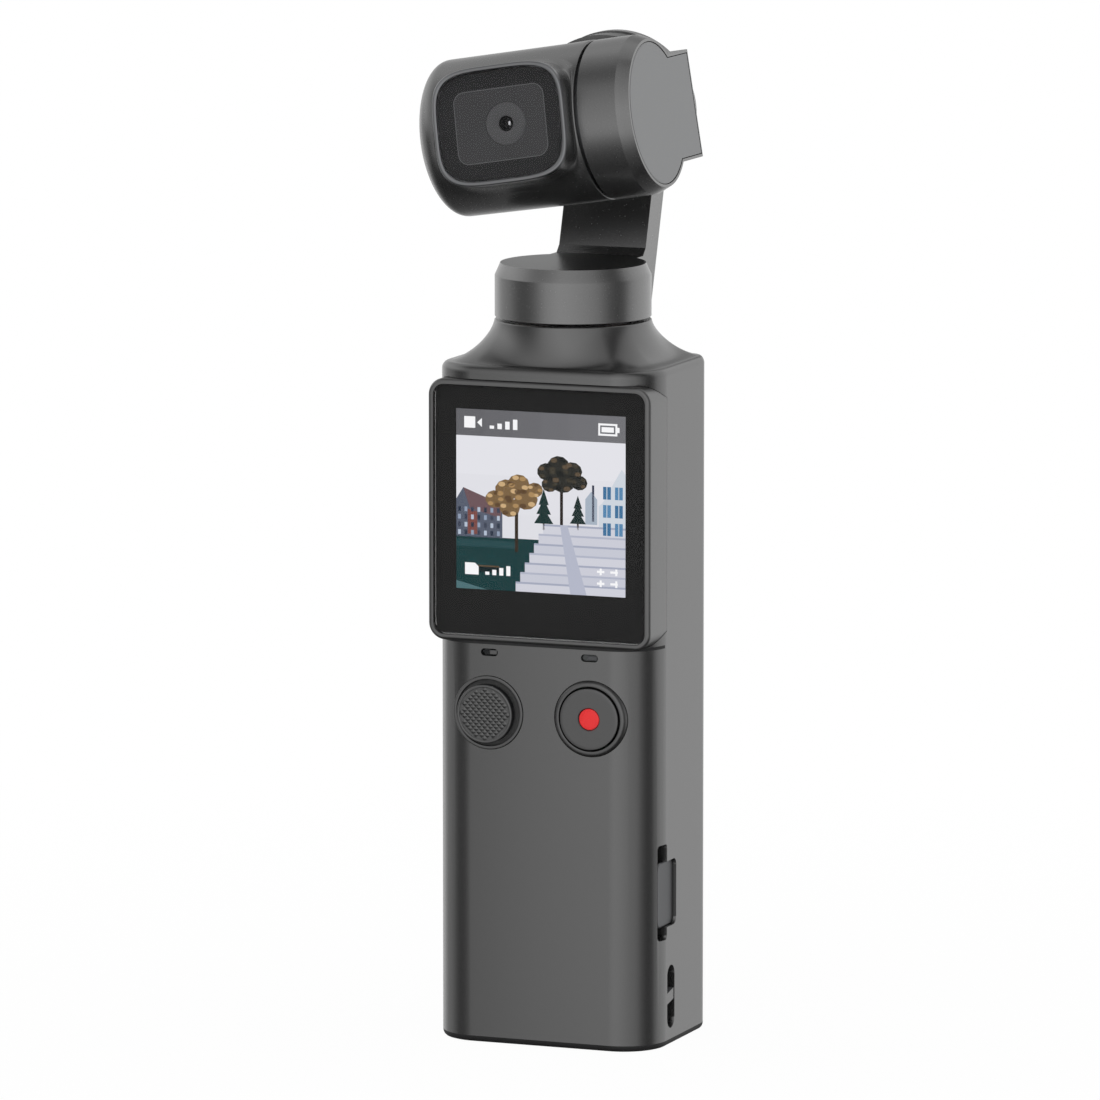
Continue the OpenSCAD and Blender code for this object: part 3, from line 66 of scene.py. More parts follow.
# Handle and shoulder
HALF_W, FRONT, BACK = 15.0, 11.7, 10.0
FRONT_R, REAR_R, WALL, FIT = 5.7, 3.3, 1.3, 0.04
SHELL_TOP, TOP_ROUND, SHOULDER_H, SHOULDER_N = 85.65, 0.95, 5.0, 1.5
COLLAR_R, COLLAR_BORE_R, COLLAR_DEEP, LEDGE_R, PLUG = 9.95, 8.5, 1.35, 7.5, 0.7
COLLAR_TOP = SHELL_TOP + TOP_ROUND + SHOULDER_H

# Gimbal axes
AXIS_Z, ROLL_REST, TILT_REST = 116.27, radians(9.2), radians(8.2)
ARM_TURN = Matrix.Translation((0, 0, AXIS_Z * MM)) @ Matrix.Rotation(-ROLL_REST, 4, "Y")
HEAD_TURN = ARM_TURN @ Matrix.Rotation(-TILT_REST, 4, "X")

# Camera head, in the tilting frame
HEAD_R, HEAD_LEFT, HEAD_END, HEAD_RIGHT, END_N = 10.12, 18.7, 3.5, 4.34, 2.4
HEAD_RISE, HEAD_SPLIT, HEAD_WALL, SHAFT_HOLE = 0.3, 4.0, 1.0, 1.04
WIN_X, TRIM_A, TRIM_B, WIN_N = -4.8, 8.9, 7.48, 4.1
TRIM_W, TRIM_T, HEAD_FRONT = 0.57, 0.8, 12.9
GLASS_A, GLASS_B = TRIM_A - TRIM_W, TRIM_B - TRIM_W
SNOUT_Y = TRIM_T - HEAD_FRONT
GLASS_T = 0.7
LENS_X, LENS_RING_R, PUPIL_R = -4.1, 2.7, 0.98
FIELD_W, FIELD_H, FIELD_R, FIELD_LINE = 6.15, 4.6, 1.5, 0.11

# Controls on the handle's face
CTRL_X, CTRL_Z = 6.9, 42.5
STICK_Y, STICK_R = -FRONT - 1.5, 3.75
CUP_R, CUP_IN_R, CUP_DEEP, CUP_FLOOR = 4.7, 4.25, 1.9, 0.6
CUP_OUT, CUP_SHELF, CUP_SHELF_R, CUP_HOLE_R = 0.22, 0.3, 3.2, 1.8
CAP_RIM, CAP_BED = 0.3, 0.17
REC_R, REC_RING_R, REC_RING_IN, REC_OUT = 3.92, 4.85, 4.1, 0.6
RING_SLOPE, RING_OUT, DOT_R = 0.36, 0.42, 1.35

# The two slots under the screen, each as far from the middle
SLOT_X, SLOT_Z = 6.77, 50.2

# Accessory port, across and up the side
PORT_Y, PORT_Z, PORT_W, PORT_H = -5.28, 19.62, 5.64, 8.45
PORT_GAP, PORT_R, PORT_SUNK = 0.06, 0.85, 0.42

# The display's lit square: half its width, its foot, and its picture's layers
HALF, LIT_Z, STRIP, LAYER = 11.45, 58.1, 3.4, 0.016
TALL = 2 * HALF
SKY_TOP = TALL - STRIP


def linear(text):
    """An sRGB hex colour such as "5a5b5e" as linear RGBA."""
    parts = [int(text[i : i + 2], 16) / 255 for i in (0, 2, 4)]
    return (*[p / 12.92 if p <= 0.04045 else ((p + 0.055) / 1.055) ** 2.4 for p in parts], 1.0)


def add(tree, kind, links=None, inputs=None, **settings):
    """One node with its settings, its input values and the links that feed it. A kind named
    without its family is a shader node."""
    made = tree.nodes.new(kind if "Node" in kind else "ShaderNode" + kind)
    for name, value in settings.items():
        setattr(made, name, value)
    for name, value in (inputs or {}).items():
        made.inputs[name].default_value = value
    for name, source in (links or {}).items():
        tree.links.new(source, made.inputs[name])
    return made


def maths(tree, operation, *values):
    """The result of a sum; each value is a number or the socket that gives it."""
    numbers = {i: v for i, v in enumerate(values) if isinstance(v, (int, float))}
    sources = {i: v for i, v in enumerate(values) if i not in numbers}
    return add(tree, "Math", sources, numbers, operation=operation).outputs[0]


def blank(name):
    """An empty node material."""
    made = bpy.data.materials.new(name)
    made.use_nodes = True
    made.node_tree.nodes.clear()
    return made, made.node_tree


def wired(tree, kind, links=None, inputs=None):
    """A shader that feeds the material's output."""
    shader = add(tree, kind, links, inputs)
    add(tree, "OutputMaterial", {"Surface": shader.outputs[0]})


def bumped(tree, height, distance):
    """The normal that a height gives."""
    return add(
        tree, "Bump", {"Height": height}, {"Strength": 1.0, "Distance": distance}
    ).outputs["Normal"]


def surface(
    name, colour, rough, metal=0.0, grain=0.12, depth=0.0, mottle=0.03, sway=0.03,
    coat=0.0, sheen=0.0, stretch=(1, 1, 1), crown=0.0, shine=0.5,
):
    """A solid finish. grain is the size of its texture in mm and depth the height of it in mm;
    mottle is how far the colour wanders and sway how far the roughness does. stretch draws the
    texture out into brush lines, crown is how far a wide face swells, in mm per mm squared, and
    shine is the specular level, 0 for what lies behind glass."""
    made, tree = blank(name)
    place = add(tree, "TexCoord").outputs["Object"]
    mapped = add(tree, "Mapping", {"Vector": place}, {"Scale": stretch}).outputs["Vector"]
    noise = add(
        tree, "TexNoise", {"Vector": mapped},
        {"Scale": 1 / (grain * MM), "Detail": 3.0, "Roughness": 0.6},
    ).outputs["Fac"]
    base = linear(colour)[:3]
    low, high = ((*[min(1.0, c * k) for c in base], 1.0) for k in (1 - mottle, 1 + mottle))
    tint = add(tree, "Mix", {0: noise}, {6: low, 7: high}, data_type="RGBA")
    gloss = add(
        tree, "MapRange", {"Value": noise},
        {"To Min": max(0.02, rough - sway), "To Max": min(1.0, rough + sway)},
    )
    links = {"Base Color": tint.outputs[2], "Roughness": gloss.outputs["Result"]}
    if depth:
        links["Normal"] = bumped(tree, noise, depth * MM)
    if crown:
        across = add(tree, "SeparateXYZ", {"Vector": place}).outputs["X"]
        square = maths(tree, "MULTIPLY", across, across)
        links["Normal"] = bumped(tree, maths(tree, "MULTIPLY", square, -crown / MM), 1.0)
    wired(tree, "BsdfPrincipled", links, {
        "Metallic": metal, "Coat Weight": coat, "Sheen Weight": sheen, "Specular IOR Level": shine,
    })
    return made


def paint(name, colour, rough, grain=0.25, crown=0.0):
    """Satin metallic paint: a soft mirror, even in colour and gloss."""
    return surface(
        name, colour, rough, metal=0.95, grain=grain, mottle=0.012, sway=0.01, crown=crown
    )


def backing(name, colour, rough=0.6, grain=0.4):
    """A layer behind glass: flat, and dull enough to show its own tone alone."""
    return surface(name, colour, rough, grain=grain, mottle=0.01, shine=0.0)


def glass(name, colour, ior):
    """Clear or tinted glass with a polished face."""
    made, tree = blank(name)
    wired(tree, "BsdfPrincipled", None, {
        "Base Color": linear(colour), "Roughness": 0.0, "IOR": ior, "Transmission Weight": 1.0,
    })
    return made


def lit(colour):
    """A lit patch of the display, named for its colour."""
    made, tree = blank("Lit display " + colour)
    wired(tree, "BsdfPrincipled", None, {
        "Base Color": (0, 0, 0, 1), "Roughness": 0.5, "Specular IOR Level": 0.0,
        "Emission Color": linear(colour), "Emission Strength": 1.0,
    })
    return made


# Finishes, one for each material slot of the record

FINISH = {
    # Satin metallic paint sprayed on a drawn alloy tube: an even grey that turns dark at the long
    # corners and holds a soft light on its flat sides. The front is very slightly crowned
    "handle_paint": paint("Satin metallic paint on alloy", "838383", 0.25, crown=0.0026),
    # The same paint on the die-cast gimbal parts, a shade lighter
    "arm_paint": paint("Satin metallic paint on castings", "979797", 0.27),
    "head_paint": paint("Satin metallic paint on the head", "929292", 0.27, crown=0.003),
    "cover_paint": paint("Satin metallic paint on the end plate", "919293", 0.3),
    # The same again on mouldings, whose open skin leaves it a little duller
    "frame_plastic": paint("Satin metallic paint on moulding", "838383", 0.3, 0.2),
    "button_plastic": paint("Satin metallic paint on buttons", "7d7d7d", 0.33, 0.2),
    # Spark-eroded mouldings: matt, with a slightly open grain
    "cap_plastic": surface("Matt black nylon", "262627", 0.55, grain=0.2, depth=0.008),
    "trim_plastic": surface("Matt black moulded ABS", "131416", 0.5, grain=0.2, depth=0.006),
    "port_plastic": surface("Matt grey moulded ABS", "505153", 0.6, grain=0.2, depth=0.006),
    # Moulded silicone rubber: dull dark grey with a faint bloom
    "stick_rubber": surface(
        "Dark silicone rubber", "585858", 0.5, grain=0.15, depth=0.008, sheen=0.1
    ),
    # Red moulded lens: even, slightly glossy
    "dot_red": surface("Red moulded acrylic", "fb3032", 0.35, grain=0.3, mottle=0.01),
    # Smoked light guide, nearly black while the light is off
    "light_pipe": surface("Smoky moulded acrylic", "4b4e4e", 0.3, grain=0.3),
    # Toughened glass with an anti-reflection coat, which takes most of the glass's mirror away
    "cover_glass": glass("Coated display glass", "ffffff", 1.2),
    "window_glass": glass("Coated window glass", "f2f2f4", 1.13),
    "lens_glass": glass("Coated lens glass", "b8c4d0", 1.5),
    # Unlit panel: near black and plain
    "display_face": surface("Unlit display", "0b0c0d", 0.4, grain=0.4),
    # A dark field and a slightly lighter anodised barrel behind the window
    "lens_black": backing("Black lens field moulding", "404040", 0.5, 0.3),
    "lens_barrel": backing("Dark anodised barrel", "4f4f4f", 0.5, 0.2),
    # Bead-blasted and anodised rim: a soft silver-grey line round the window
    "bezel_metal": surface("Blasted anodised rim", "9fa0a2", 0.3, metal=1.0, depth=0.001),
    # Machined alloy and drawn steel: fine brush lines along the cut
    "chassis_alloy": surface(
        "Machined alloy", "b4b6b9", 0.35, metal=1.0, grain=0.1, depth=0.004, stretch=(1, 1, 6)
    ),
    "switch_metal": surface("Tinned steel sheet", "bfc1c4", 0.3, metal=1.0, grain=0.3, depth=0.003),
    "screw_steel": surface("Turned steel", "c4c6c9", 0.25, metal=1.0, grain=0.15, depth=0.002),
    # Bright plating, smoother than the bare metals
    "magnet_nickel": surface("Nickel plating", "b9b8b2", 0.15, metal=1.0, grain=0.4),
    # Stacked laminations: dark varnish with fine lines across the stack
    "core_iron": surface(
        "Varnished laminations", "3b3f44", 0.45, metal=0.8, grain=0.1, depth=0.01, stretch=(1, 1, 8)
    ),
    # Wound wire: dark orange under a clear enamel that glints
    "copper_wire": surface(
        "Enamelled copper wire", "8a4a24", 0.3, metal=1.0, depth=0.03, coat=0.5
    ),
    "contact_gold": surface("Gold plating", "d9ab52", 0.25, metal=1.0, grain=0.3),
    # The board's mask, the cell's film and the card: plain colours, the mask the shiniest
    "board_green": surface("Green solder mask", "1b5a3a", 0.35, grain=0.5, coat=0.4),
    "cell_wrap": surface("Blue-grey cell film", "34465e", 0.35, grain=0.6),
    "card_plastic": surface("Black card moulding", "191a1c", 0.5, grain=0.2),
    # The sensor's violet sheen under its flat cover
    "sensor_face": surface("Sensor under glass", "33284e", 0.1, grain=0.5, coat=1.0),
}
# Ink on the back of glass: flat and without any texture of its own
GLASS_INK = backing("Black ink behind glass", "232323")
WINDOW_INK = backing("Dark grey ink behind glass", "2d2d2d")
OUTLINE_INK = backing("Grey outline behind glass", "5a5a5a")
# The arm's paint, darker on the tops that the head overhangs as painted shade, and a little rougher
SHADE_TOP_PAINT = paint("Satin paint darkened as painted shade", "6b6c6c", 0.33)
# The port's bed: the handle's paint in a darker grey
PORT_BED = paint("Satin grey paint in the port", "6a6b6d", 0.4)
# A small mirror oval, shaped and placed as the lens's glint: a painted glint, bright with the white
# it reflects
LENS_GLINT_BEAD = surface("Mirror oval as painted glint", "c8c8c8", 0.2, metal=1.0, grain=0.2)
# The stick's finishes from its lip inwards; the last, matt black, is painted shade in the gap round
# the cap
STICK_FINISHES_AND_SHADE = [FINISH[slot] for slot in ("button_plastic", "stick_rubber", "trim_plastic")]

SLOTS = {part["node"]: part["material_slot"] for part in frame["record"]["subparts"]}
BODY = {n: body for body, names in frame["record"]["behaviour"]["bodies"].items() for n in names}

for name, obj in frame["nodes"].items():
    obj.data.materials.clear()
    obj.data.materials.append(FINISH[SLOTS[name]])


# Making pieces


def linked(name, data):
    """A new object in the scene."""
    obj = bpy.data.objects.new(name, data)
    bpy.context.collection.objects.link(obj)
    return obj


def arc(start, stop, count):
    """Even angles from start to stop in degrees, as radians."""
    return np.radians(np.linspace(start, stop, count))


def full_turn(count):
    """Even angles round a whole turn."""
    return np.linspace(0, 2 * pi, count, endpoint=False)


def piece(name, mesh, body, slot, *stands_for, finish=None):
    """A finished mesh in the frame, riding its body, in its slot's finish."""
    if not mesh.materials:
        mesh.materials.append(finish or FINISH[slot])
    mesh.name = name
    obj = linked(name, mesh)
    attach(obj, body)
    if stands_for:
        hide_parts(*stands_for)
    return obj


def stand_in(name, mesh, node):
    """A piece in a node's place, on its body and in its slot."""
    return piece(name, mesh, BODY[node], SLOTS[node], node)


def evaluated(draft):
    """The mesh that a draft's modifiers make. The draft itself goes."""
    bpy.context.view_layer.update()
    seen = draft.evaluated_get(bpy.context.evaluated_depsgraph_get())
    made = bpy.data.meshes.new_from_object(seen)
    bpy.data.objects.remove(draft)
    return made


def applied(mesh, kind, **settings):
    """A mesh after a modifier with these settings."""
    draft = linked("draft", mesh)
    step = draft.modifiers.new(kind, kind)
    for key, value in settings.items():
        setattr(step, key, value)
    return evaluated(draft)


def meshed(shape):
    """A new mesh from a drawn shape."""
    mesh = bpy.data.meshes.new("drawn")
    shape.to_mesh(mesh)
    shape.free()
    return mesh


def dressed(mesh, finishes, choose=None):
    """The mesh with more finishes; choose picks one by a face's middle, in metres."""
    for finish in finishes:
        mesh.materials.append(finish)
    for face in mesh.polygons if choose else ():
        face.material_index = int(choose(face.center))
    return mesh


def smoothed(mesh, sharp):
    """Round faces shaded smooth, and edges turned by more than sharp degrees kept crisp."""
    mesh.polygons.foreach_set("use_smooth", [True] * len(mesh.polygons))
    mesh.set_sharp_from_angle(angle=radians(sharp))
    return applied(mesh, "WEIGHTED_NORMAL", keep_sharp=True, weight=90)


def softened(node, width, limit=35.0, sharp=40.0, where=None, finish=None):
    """A copy of a node with its edges broken by a small bevel. Faces whose middle passes
    where, in mm, get the other finish."""
    mesh = frame["nodes"][node].data.copy()
    shape = bmesh.new()
    shape.from_mesh(mesh)
    bmesh.ops.remove_doubles(shape, verts=shape.verts, dist=0.002 * MM)
    bmesh.ops.dissolve_limit(
        shape, angle_limit=radians(0.5), verts=shape.verts, edges=shape.edges
    )
    shape.to_mesh(mesh)
    shape.free()
    made = smoothed(applied(
        mesh, "BEVEL", width=width * MM, segments=2, limit_method="ANGLE",
        angle_limit=radians(limit),
    ), sharp)
    if where:
        dressed(made, [finish], lambda middle: where(middle / MM))
    return stand_in(node + "_softened", made, node)


def grid_mesh(rows, wrap_rows=False, wrap_points=False, keep=None):
    """A mesh from rows of points in mm. Rows run so that along a row crossed with row to row
    points outwards. keep says by a face's middle, in mm, whether it stays."""
    rows = np.asarray(rows, dtype=float)
    many, count = rows.shape[:2]
    shape = bmesh.new()
    verts = [[shape.verts.new(p * MM) for p in row] for row in rows]
    for j in range(many if wrap_rows else many - 1):
        for k in range(count if wrap_points else count - 1):
            a, b = (j + 1) % many, (k + 1) % count
            middle = (rows[j, k] + rows[j, b] + rows[a, b] + rows[a, k]) / 4
            if keep is None or keep(middle):
                shape.faces.new((verts[j][k], verts[j][b], verts[a][b], verts[a][k]))
    bmesh.ops.remove_doubles(shape, verts=shape.verts, dist=0.001 * MM)
    bmesh.ops.dissolve_degenerate(shape, edges=shape.edges, dist=0.001 * MM)
    loose = [v for v in shape.verts if not v.link_faces]
    bmesh.ops.delete(shape, geom=loose, context="VERTS")
    return meshed(shape)


def walled(mesh, thick):
    """An open skin given a wall on its inner side."""
    return applied(mesh, "SOLIDIFY", thickness=thick * MM, offset=-1.0, use_even_offset=False)


def joined(*meshes):
    """Several meshes as one."""
    shape = bmesh.new()
    for mesh in meshes:
        shape.from_mesh(mesh)
    return meshed(shape)


def turned(section, x, z, steps=96, closed=True):
    """A ring or button turned about a line along Y. The section is (radius, y) in mm, from the
    back of its outer side over the front to the inside."""
    turn = full_turn(steps)
    rows = [[(x + r * cos(t), y, z + r * sin(t)) for t in turn] for r, y in section]
    return grid_mesh(rows, wrap_rows=closed, wrap_points=True)


def plate(x, z, half_w, half_h, r, y, thick, edge=0.05, steps=72):
    """A closed rounded plate about (x, z), its face at y looking towards -Y, in mm."""
    turns = full_turn(steps)
    across, up = rounded_box(half_w, half_h, r, turns)
    thin = 1 - edge / min(half_w, half_h)
    section = ((0.0, y + thick), (1.0, y + thick), (1.0, y + edge), (thin, y), (0.0, y))
    rows = [
        [(x + share * a, deep, z + share * b) for a, b in zip(across, up)]
        for share, deep in section
    ]
    return smoothed(grid_mesh(rows, wrap_points=True), 12)


def rounded_corner(r, y, radius, start, stop, steps=4):
    """A section's points round a corner about (r, y), from start to stop in degrees."""
    turn = arc(start, stop, steps + 1)
    return [(r + radius * cos(t), y - radius * sin(t)) for t in turn]


def oval(out, turn):
    """The window's squared oval, out mm outside its glass, at each angle of turn."""
    c, s = np.cos(turn), np.sin(turn)
    a, b = (np.sign(v) * np.abs(v) ** (2 / WIN_N) for v in (c, s))
    return (GLASS_A + out) * a, (GLASS_B + out) * b


# Shoulder: a swept skin from the handle's outline up to the round collar


def outline(inset, rear_share=0.05, steps=14):
    """The handle's outline, anticlockwise from +X, with front and rear corners."""
    w, front, back = HALF_W - inset, FRONT - inset, BACK - inset * rear_share
    rf, rb = FRONT_R - inset, REAR_R - inset
    corners = (
        (w - rb, back - rb, rb, 0, 18), (-w + rb, back - rb, rb, 90, 10),
        (-w + rf, -front + rf, rf, 180, 18), (w - rf, -front + rf, rf, 270, 10),
    )
    points = []
    for i, (cx, cy, r, start, run) in enumerate(corners):
        for t in arc(start, start + 90, steps + 1):
            points.append((cx + r * cos(t), cy + r * sin(t)))
        nx, ny, nr, turn = corners[(i + 1) % 4][:4]
        goal = (nx + nr * cos(radians(turn)), ny + nr * sin(radians(turn)))
        here = points[-1]
        points += [
            (here[0] + (goal[0] - here[0]) * s / run, here[1] + (goal[1] - here[1]) * s / run)
            for s in range(1, run)
        ]
    return np.array(points)


def shoulder():
    """The handle's rounded top edge, the hollow sweep, and the collar's lip, bore and plug."""
    rim = outline(TOP_ROUND)
    norm = np.linalg.norm(rim, axis=1, keepdims=True)

    def level(points, z):
        return np.column_stack([points, np.full(len(points), z)])

    def ring(radius, z):
        return level(rim * radius / norm, z)

    rows = [
        level(outline(TOP_ROUND * (1 - cos(t))), SHELL_TOP + TOP_ROUND * sin(t))
        for t in arc(0, 90, 9)
    ]
    for t in arc(90, 3, 26)[1:]:
        share, drop = 1 - cos(t) ** (2 / SHOULDER_N), sin(t) ** (2 / SHOULDER_N)
        hub = rim * COLLAR_R / norm
        rows.append(level(hub + (rim - hub) * share, COLLAR_TOP - SHOULDER_H * drop))
    edge, deep, plug = 0.1, COLLAR_TOP - COLLAR_DEEP, SHELL_TOP - PLUG
    rows += [ring(radius, z) for radius, z in (
        (COLLAR_R, COLLAR_TOP - edge), (COLLAR_R - edge, COLLAR_TOP),
        (COLLAR_BORE_R + edge, COLLAR_TOP), (COLLAR_BORE_R, COLLAR_TOP - edge),
        (COLLAR_BORE_R, deep), (LEDGE_R, deep), (LEDGE_R, plug),
    )]
    rows += [level(outline(WALL + FIT), z) for z in (plug, SHELL_TOP)]
    mesh = grid_mesh(rows, wrap_rows=True, wrap_points=True)
    stand_in("shoulder_skin", smoothed(mesh, 35), "shoulder_collar")


# Camera head: round barrel in two halves, and the snout that carries the window


def head_stations():
    """Along the head: each x and the radius there, then across the flat end to the shaft."""
    edge = 0.16
    rows = []
    for t in arc(90, 0, 30):
        x = -HEAD_LEFT + HEAD_END * (1 - sin(t) ** (2 / END_N))
        rows.append((x, HEAD_R * cos(t) ** (2 / END_N)))
    rows += [(x, HEAD_R) for x in np.linspace(-HEAD_LEFT + HEAD_END, HEAD_RIGHT - edge, 60)[1:]]
    for t in arc(0, 90, 5)[1:]:
        rows.append((HEAD_RIGHT - edge * (1 - sin(t)), HEAD_R - edge * (1 - cos(t))))
    near = 0.3
    face = (8.0, 6.0, HEAD_SPLIT + near, HEAD_SPLIT - near, 2.5, SHAFT_HOLE)
    return rows + [(HEAD_RIGHT, r) for r in face]


def barrel(rear):
    """Half of the head's barrel, split by an upright plane behind its middle."""
    split = HEAD_SPLIT + (FIT / 2 if rear else -FIT / 2)
    under_rim = 2.2
    rows = []
    for x, r in head_stations():
        open_turn = acos(min(1.0, split / r)) if r > 0 else 0.0
        turns = (
            np.linspace(-open_turn, open_turn, 61) if rear
            else np.linspace(open_turn, 2 * pi - open_turn, 121)
        )
        lift = HEAD_RISE * -x / HEAD_LEFT * min(1.0, r / HEAD_R)
        rows.append([
            (x, r * cos(t), r * sin(t) + max(0.0, -sin(t) * lift)) for t in turns
        ])

    def off_window(middle):
        x, y, z = middle
        beside = abs(x - WIN_X) > TRIM_A - under_rim or abs(z) > TRIM_B - under_rim
        return rear or y > 0 or beside

    return walled(grid_mesh(rows, keep=off_window), HEAD_WALL)


def snout():
    """The wall that stands round the window: from the land under the rim, down the side and in
    a fillet on to the barrel."""
    turns = full_turn(360)
    step, land, wall, fillet = 0.003, 1.0, 0.6, 1.5
    end_gap, least, rise, sink, tiny = 0.08, 0.05, 0.8, 0.01, 0.001

    def row(px, py, pz):
        return np.stack([px + WIN_X, py, pz], axis=1)

    x, z = oval(TRIM_W, turns)
    x0, z0 = oval(-land, turns)
    after, before = (np.array(oval(TRIM_W, turns + t)) for t in (step, -step))
    ahead = after - before
    out = np.stack([ahead[1], -ahead[0]]) / np.linalg.norm(ahead, axis=0)
    # The fillet is narrower where the head's flat end leaves it less room
    room = (HEAD_RIGHT - end_gap - WIN_X - x) / np.maximum(out[0], least)
    reach = np.where(out[0] > least, np.minimum(fillet, np.maximum(room, least)), fillet)
    foot_y = -np.sqrt(HEAD_R**2 - z**2)
    end_x, end_z = x + out[0] * reach, z + out[1] * reach
    end_y = -np.sqrt(HEAD_R**2 - np.minimum(end_z**2, HEAD_R**2)) + sink
    high = np.minimum(reach, (foot_y - SNOUT_Y) * rise)
    rows = [row(x0, np.full_like(x0, SNOUT_Y), z0)]
    rows += [
        row(x, SNOUT_Y + (foot_y - high - SNOUT_Y) * share, z) for share in np.linspace(0, 1, 6)
    ]
    for t in np.linspace(0, 1, 13)[1:]:
        a, b, c = (1 - t) ** 2, 2 * t * (1 - t), t * t
        rows.append(row(
            a * x + b * x + c * end_x, a * (foot_y - high) + b * foot_y + c * end_y,
            a * z + b * z + c * end_z,
        ))
    for line in rows:
        lift = HEAD_RISE * -line[:, 0] / HEAD_LEFT * np.maximum(0, -line[:, 2] / HEAD_R)
        line[:, 2] += lift * (line[:, 1] > SNOUT_Y + tiny)
    return walled(grid_mesh(rows[::-1], wrap_points=True), wall)


def at_head(mesh):
    """A mesh drawn with the head level, put where the head points at rest."""
    mesh.transform(HEAD_TURN)
    return mesh


def head():
    for end, mesh in (("front", joined(barrel(False), snout())), ("rear", barrel(True))):
        stand_in(f"head_{end}_skin", smoothed(at_head(mesh), 40), f"head_{end}_shell")


def flat_ring(outer, inner, y):
    """A flat ring facing -Y between two outlines of the same count, in the head's frame."""
    rows = [[(px + WIN_X, y, pz) for px, pz in zip(*line)] for line in (inner, outer)]
    return grid_mesh(rows[::-1], wrap_points=True)


def rounded_box(half_w, half_h, r, turn):
    """Points of a rounded rectangle in the directions of turn."""
    c, s = np.cos(turn), np.sin(turn)
    far, halvings = 40.0, 40
    low, high = np.zeros_like(turn), np.full_like(turn, far)
    for _ in range(halvings):
        mid = (low + high) / 2
        px, pz = np.abs(c * mid), np.abs(s * mid)
        over = np.hypot(np.maximum(px - half_w + r, 0), np.maximum(pz - half_h + r, 0))
        inside = (px < half_w) & (pz < half_h) & (over < r)
        low, high = np.where(inside, mid, low), np.where(inside, high, mid)
    return low * c, low * s


def window():
    """The rim, the ink behind the glass, the raised field, the lens ring and the pupil."""
    turns = full_turn(240)
    # The rim's section: the share of its width from the glass outwards, and y
    corner, cut = 0.22, 0.03
    section = [
        (0.0, SNOUT_Y), (0.0, -HEAD_FRONT + corner / 2), (0.12, -HEAD_FRONT + cut),
        (0.24, -HEAD_FRONT), (0.55, -HEAD_FRONT),
    ]
    section += [
        (1 - corner / TRIM_W * (1 - sin(t)), -HEAD_FRONT + corner * (1 - cos(t)))
        for t in arc(0, 90, 6)
    ]
    section += [(1.0, SNOUT_Y)]
    rows = []
    for share, y in section[::-1]:
        px, pz = oval(TRIM_W * share, turns)
        rows.append([(a + WIN_X, y, b) for a, b in zip(px, pz)])
    rim = at_head(grid_mesh(rows, wrap_rows=True, wrap_points=True))
    stand_in("window_rim", smoothed(rim, 50), "window_bezel")

    back = -HEAD_FRONT + FIT + GLASS_T
    edge = oval(-FIT, turns)
    far = np.arctan2(edge[1], edge[0])
    field = rounded_box(FIELD_W, FIELD_H, FIELD_R, far)
    inner = rounded_box(FIELD_W - FIELD_LINE, FIELD_H - FIELD_LINE, FIELD_R - FIELD_LINE, far)
    for name, outer, hole, deep, finish in (
        ("window_ink", edge, field, 0.02, WINDOW_INK),
        ("field_outline", field, inner, 0.025, OUTLINE_INK),
    ):
        ring = at_head(flat_ring(outer, hole, back + deep))
        piece(name, ring, "head", "lens_black", finish=finish)

    # The lens ring and the well in it, each a table of radius and depth behind the glass
    ring = (
        (LENS_RING_R, 0.6), (LENS_RING_R, 0.07), (LENS_RING_R - 0.05, 0.03),
        (PUPIL_R + 0.06, 0.03), (PUPIL_R, 0.08), (PUPIL_R - 0.3, 1.4), (PUPIL_R - 0.3, 1.5),
        (LENS_RING_R, 1.5),
    )
    well = ((PUPIL_R - 0.02, 0.12), (PUPIL_R - 0.28, 1.3), (0.02, 1.3))
    for name, section, steps, closed, slot, finish in (
        ("lens_ring", ring, 96, True, "lens_barrel", None),
        ("lens_well", well, 48, False, "trim_plastic", WINDOW_INK),
    ):
        section = [(r, back + deep) for r, deep in section]
        face = smoothed(turned(section, LENS_X, 0, steps, closed), 40)
        piece(name, at_head(face), "head", slot, finish=finish)
    # A mirror oval in the glint's shape and place: painted glint
    bead = plate(LENS_X + 0.3, 0.05, half_w=0.2, half_h=0.32, r=0.19, y=back + 0.5, thick=0.4)
    piece("lens_glint_bead", at_head(bead), "head", "lens_glass", "lens_front_element", finish=LENS_GLINT_BEAD)


# Controls


def control(name, section, x, finishes=(), choose=None, sharp=50, steps=96, closed=True):
    """A turned part of the controls in place of the CAD's."""
    mesh = smoothed(turned(section, x, CTRL_Z, steps, closed), sharp)
    stand_in(name + "_skin", dressed(mesh, finishes, choose), name)


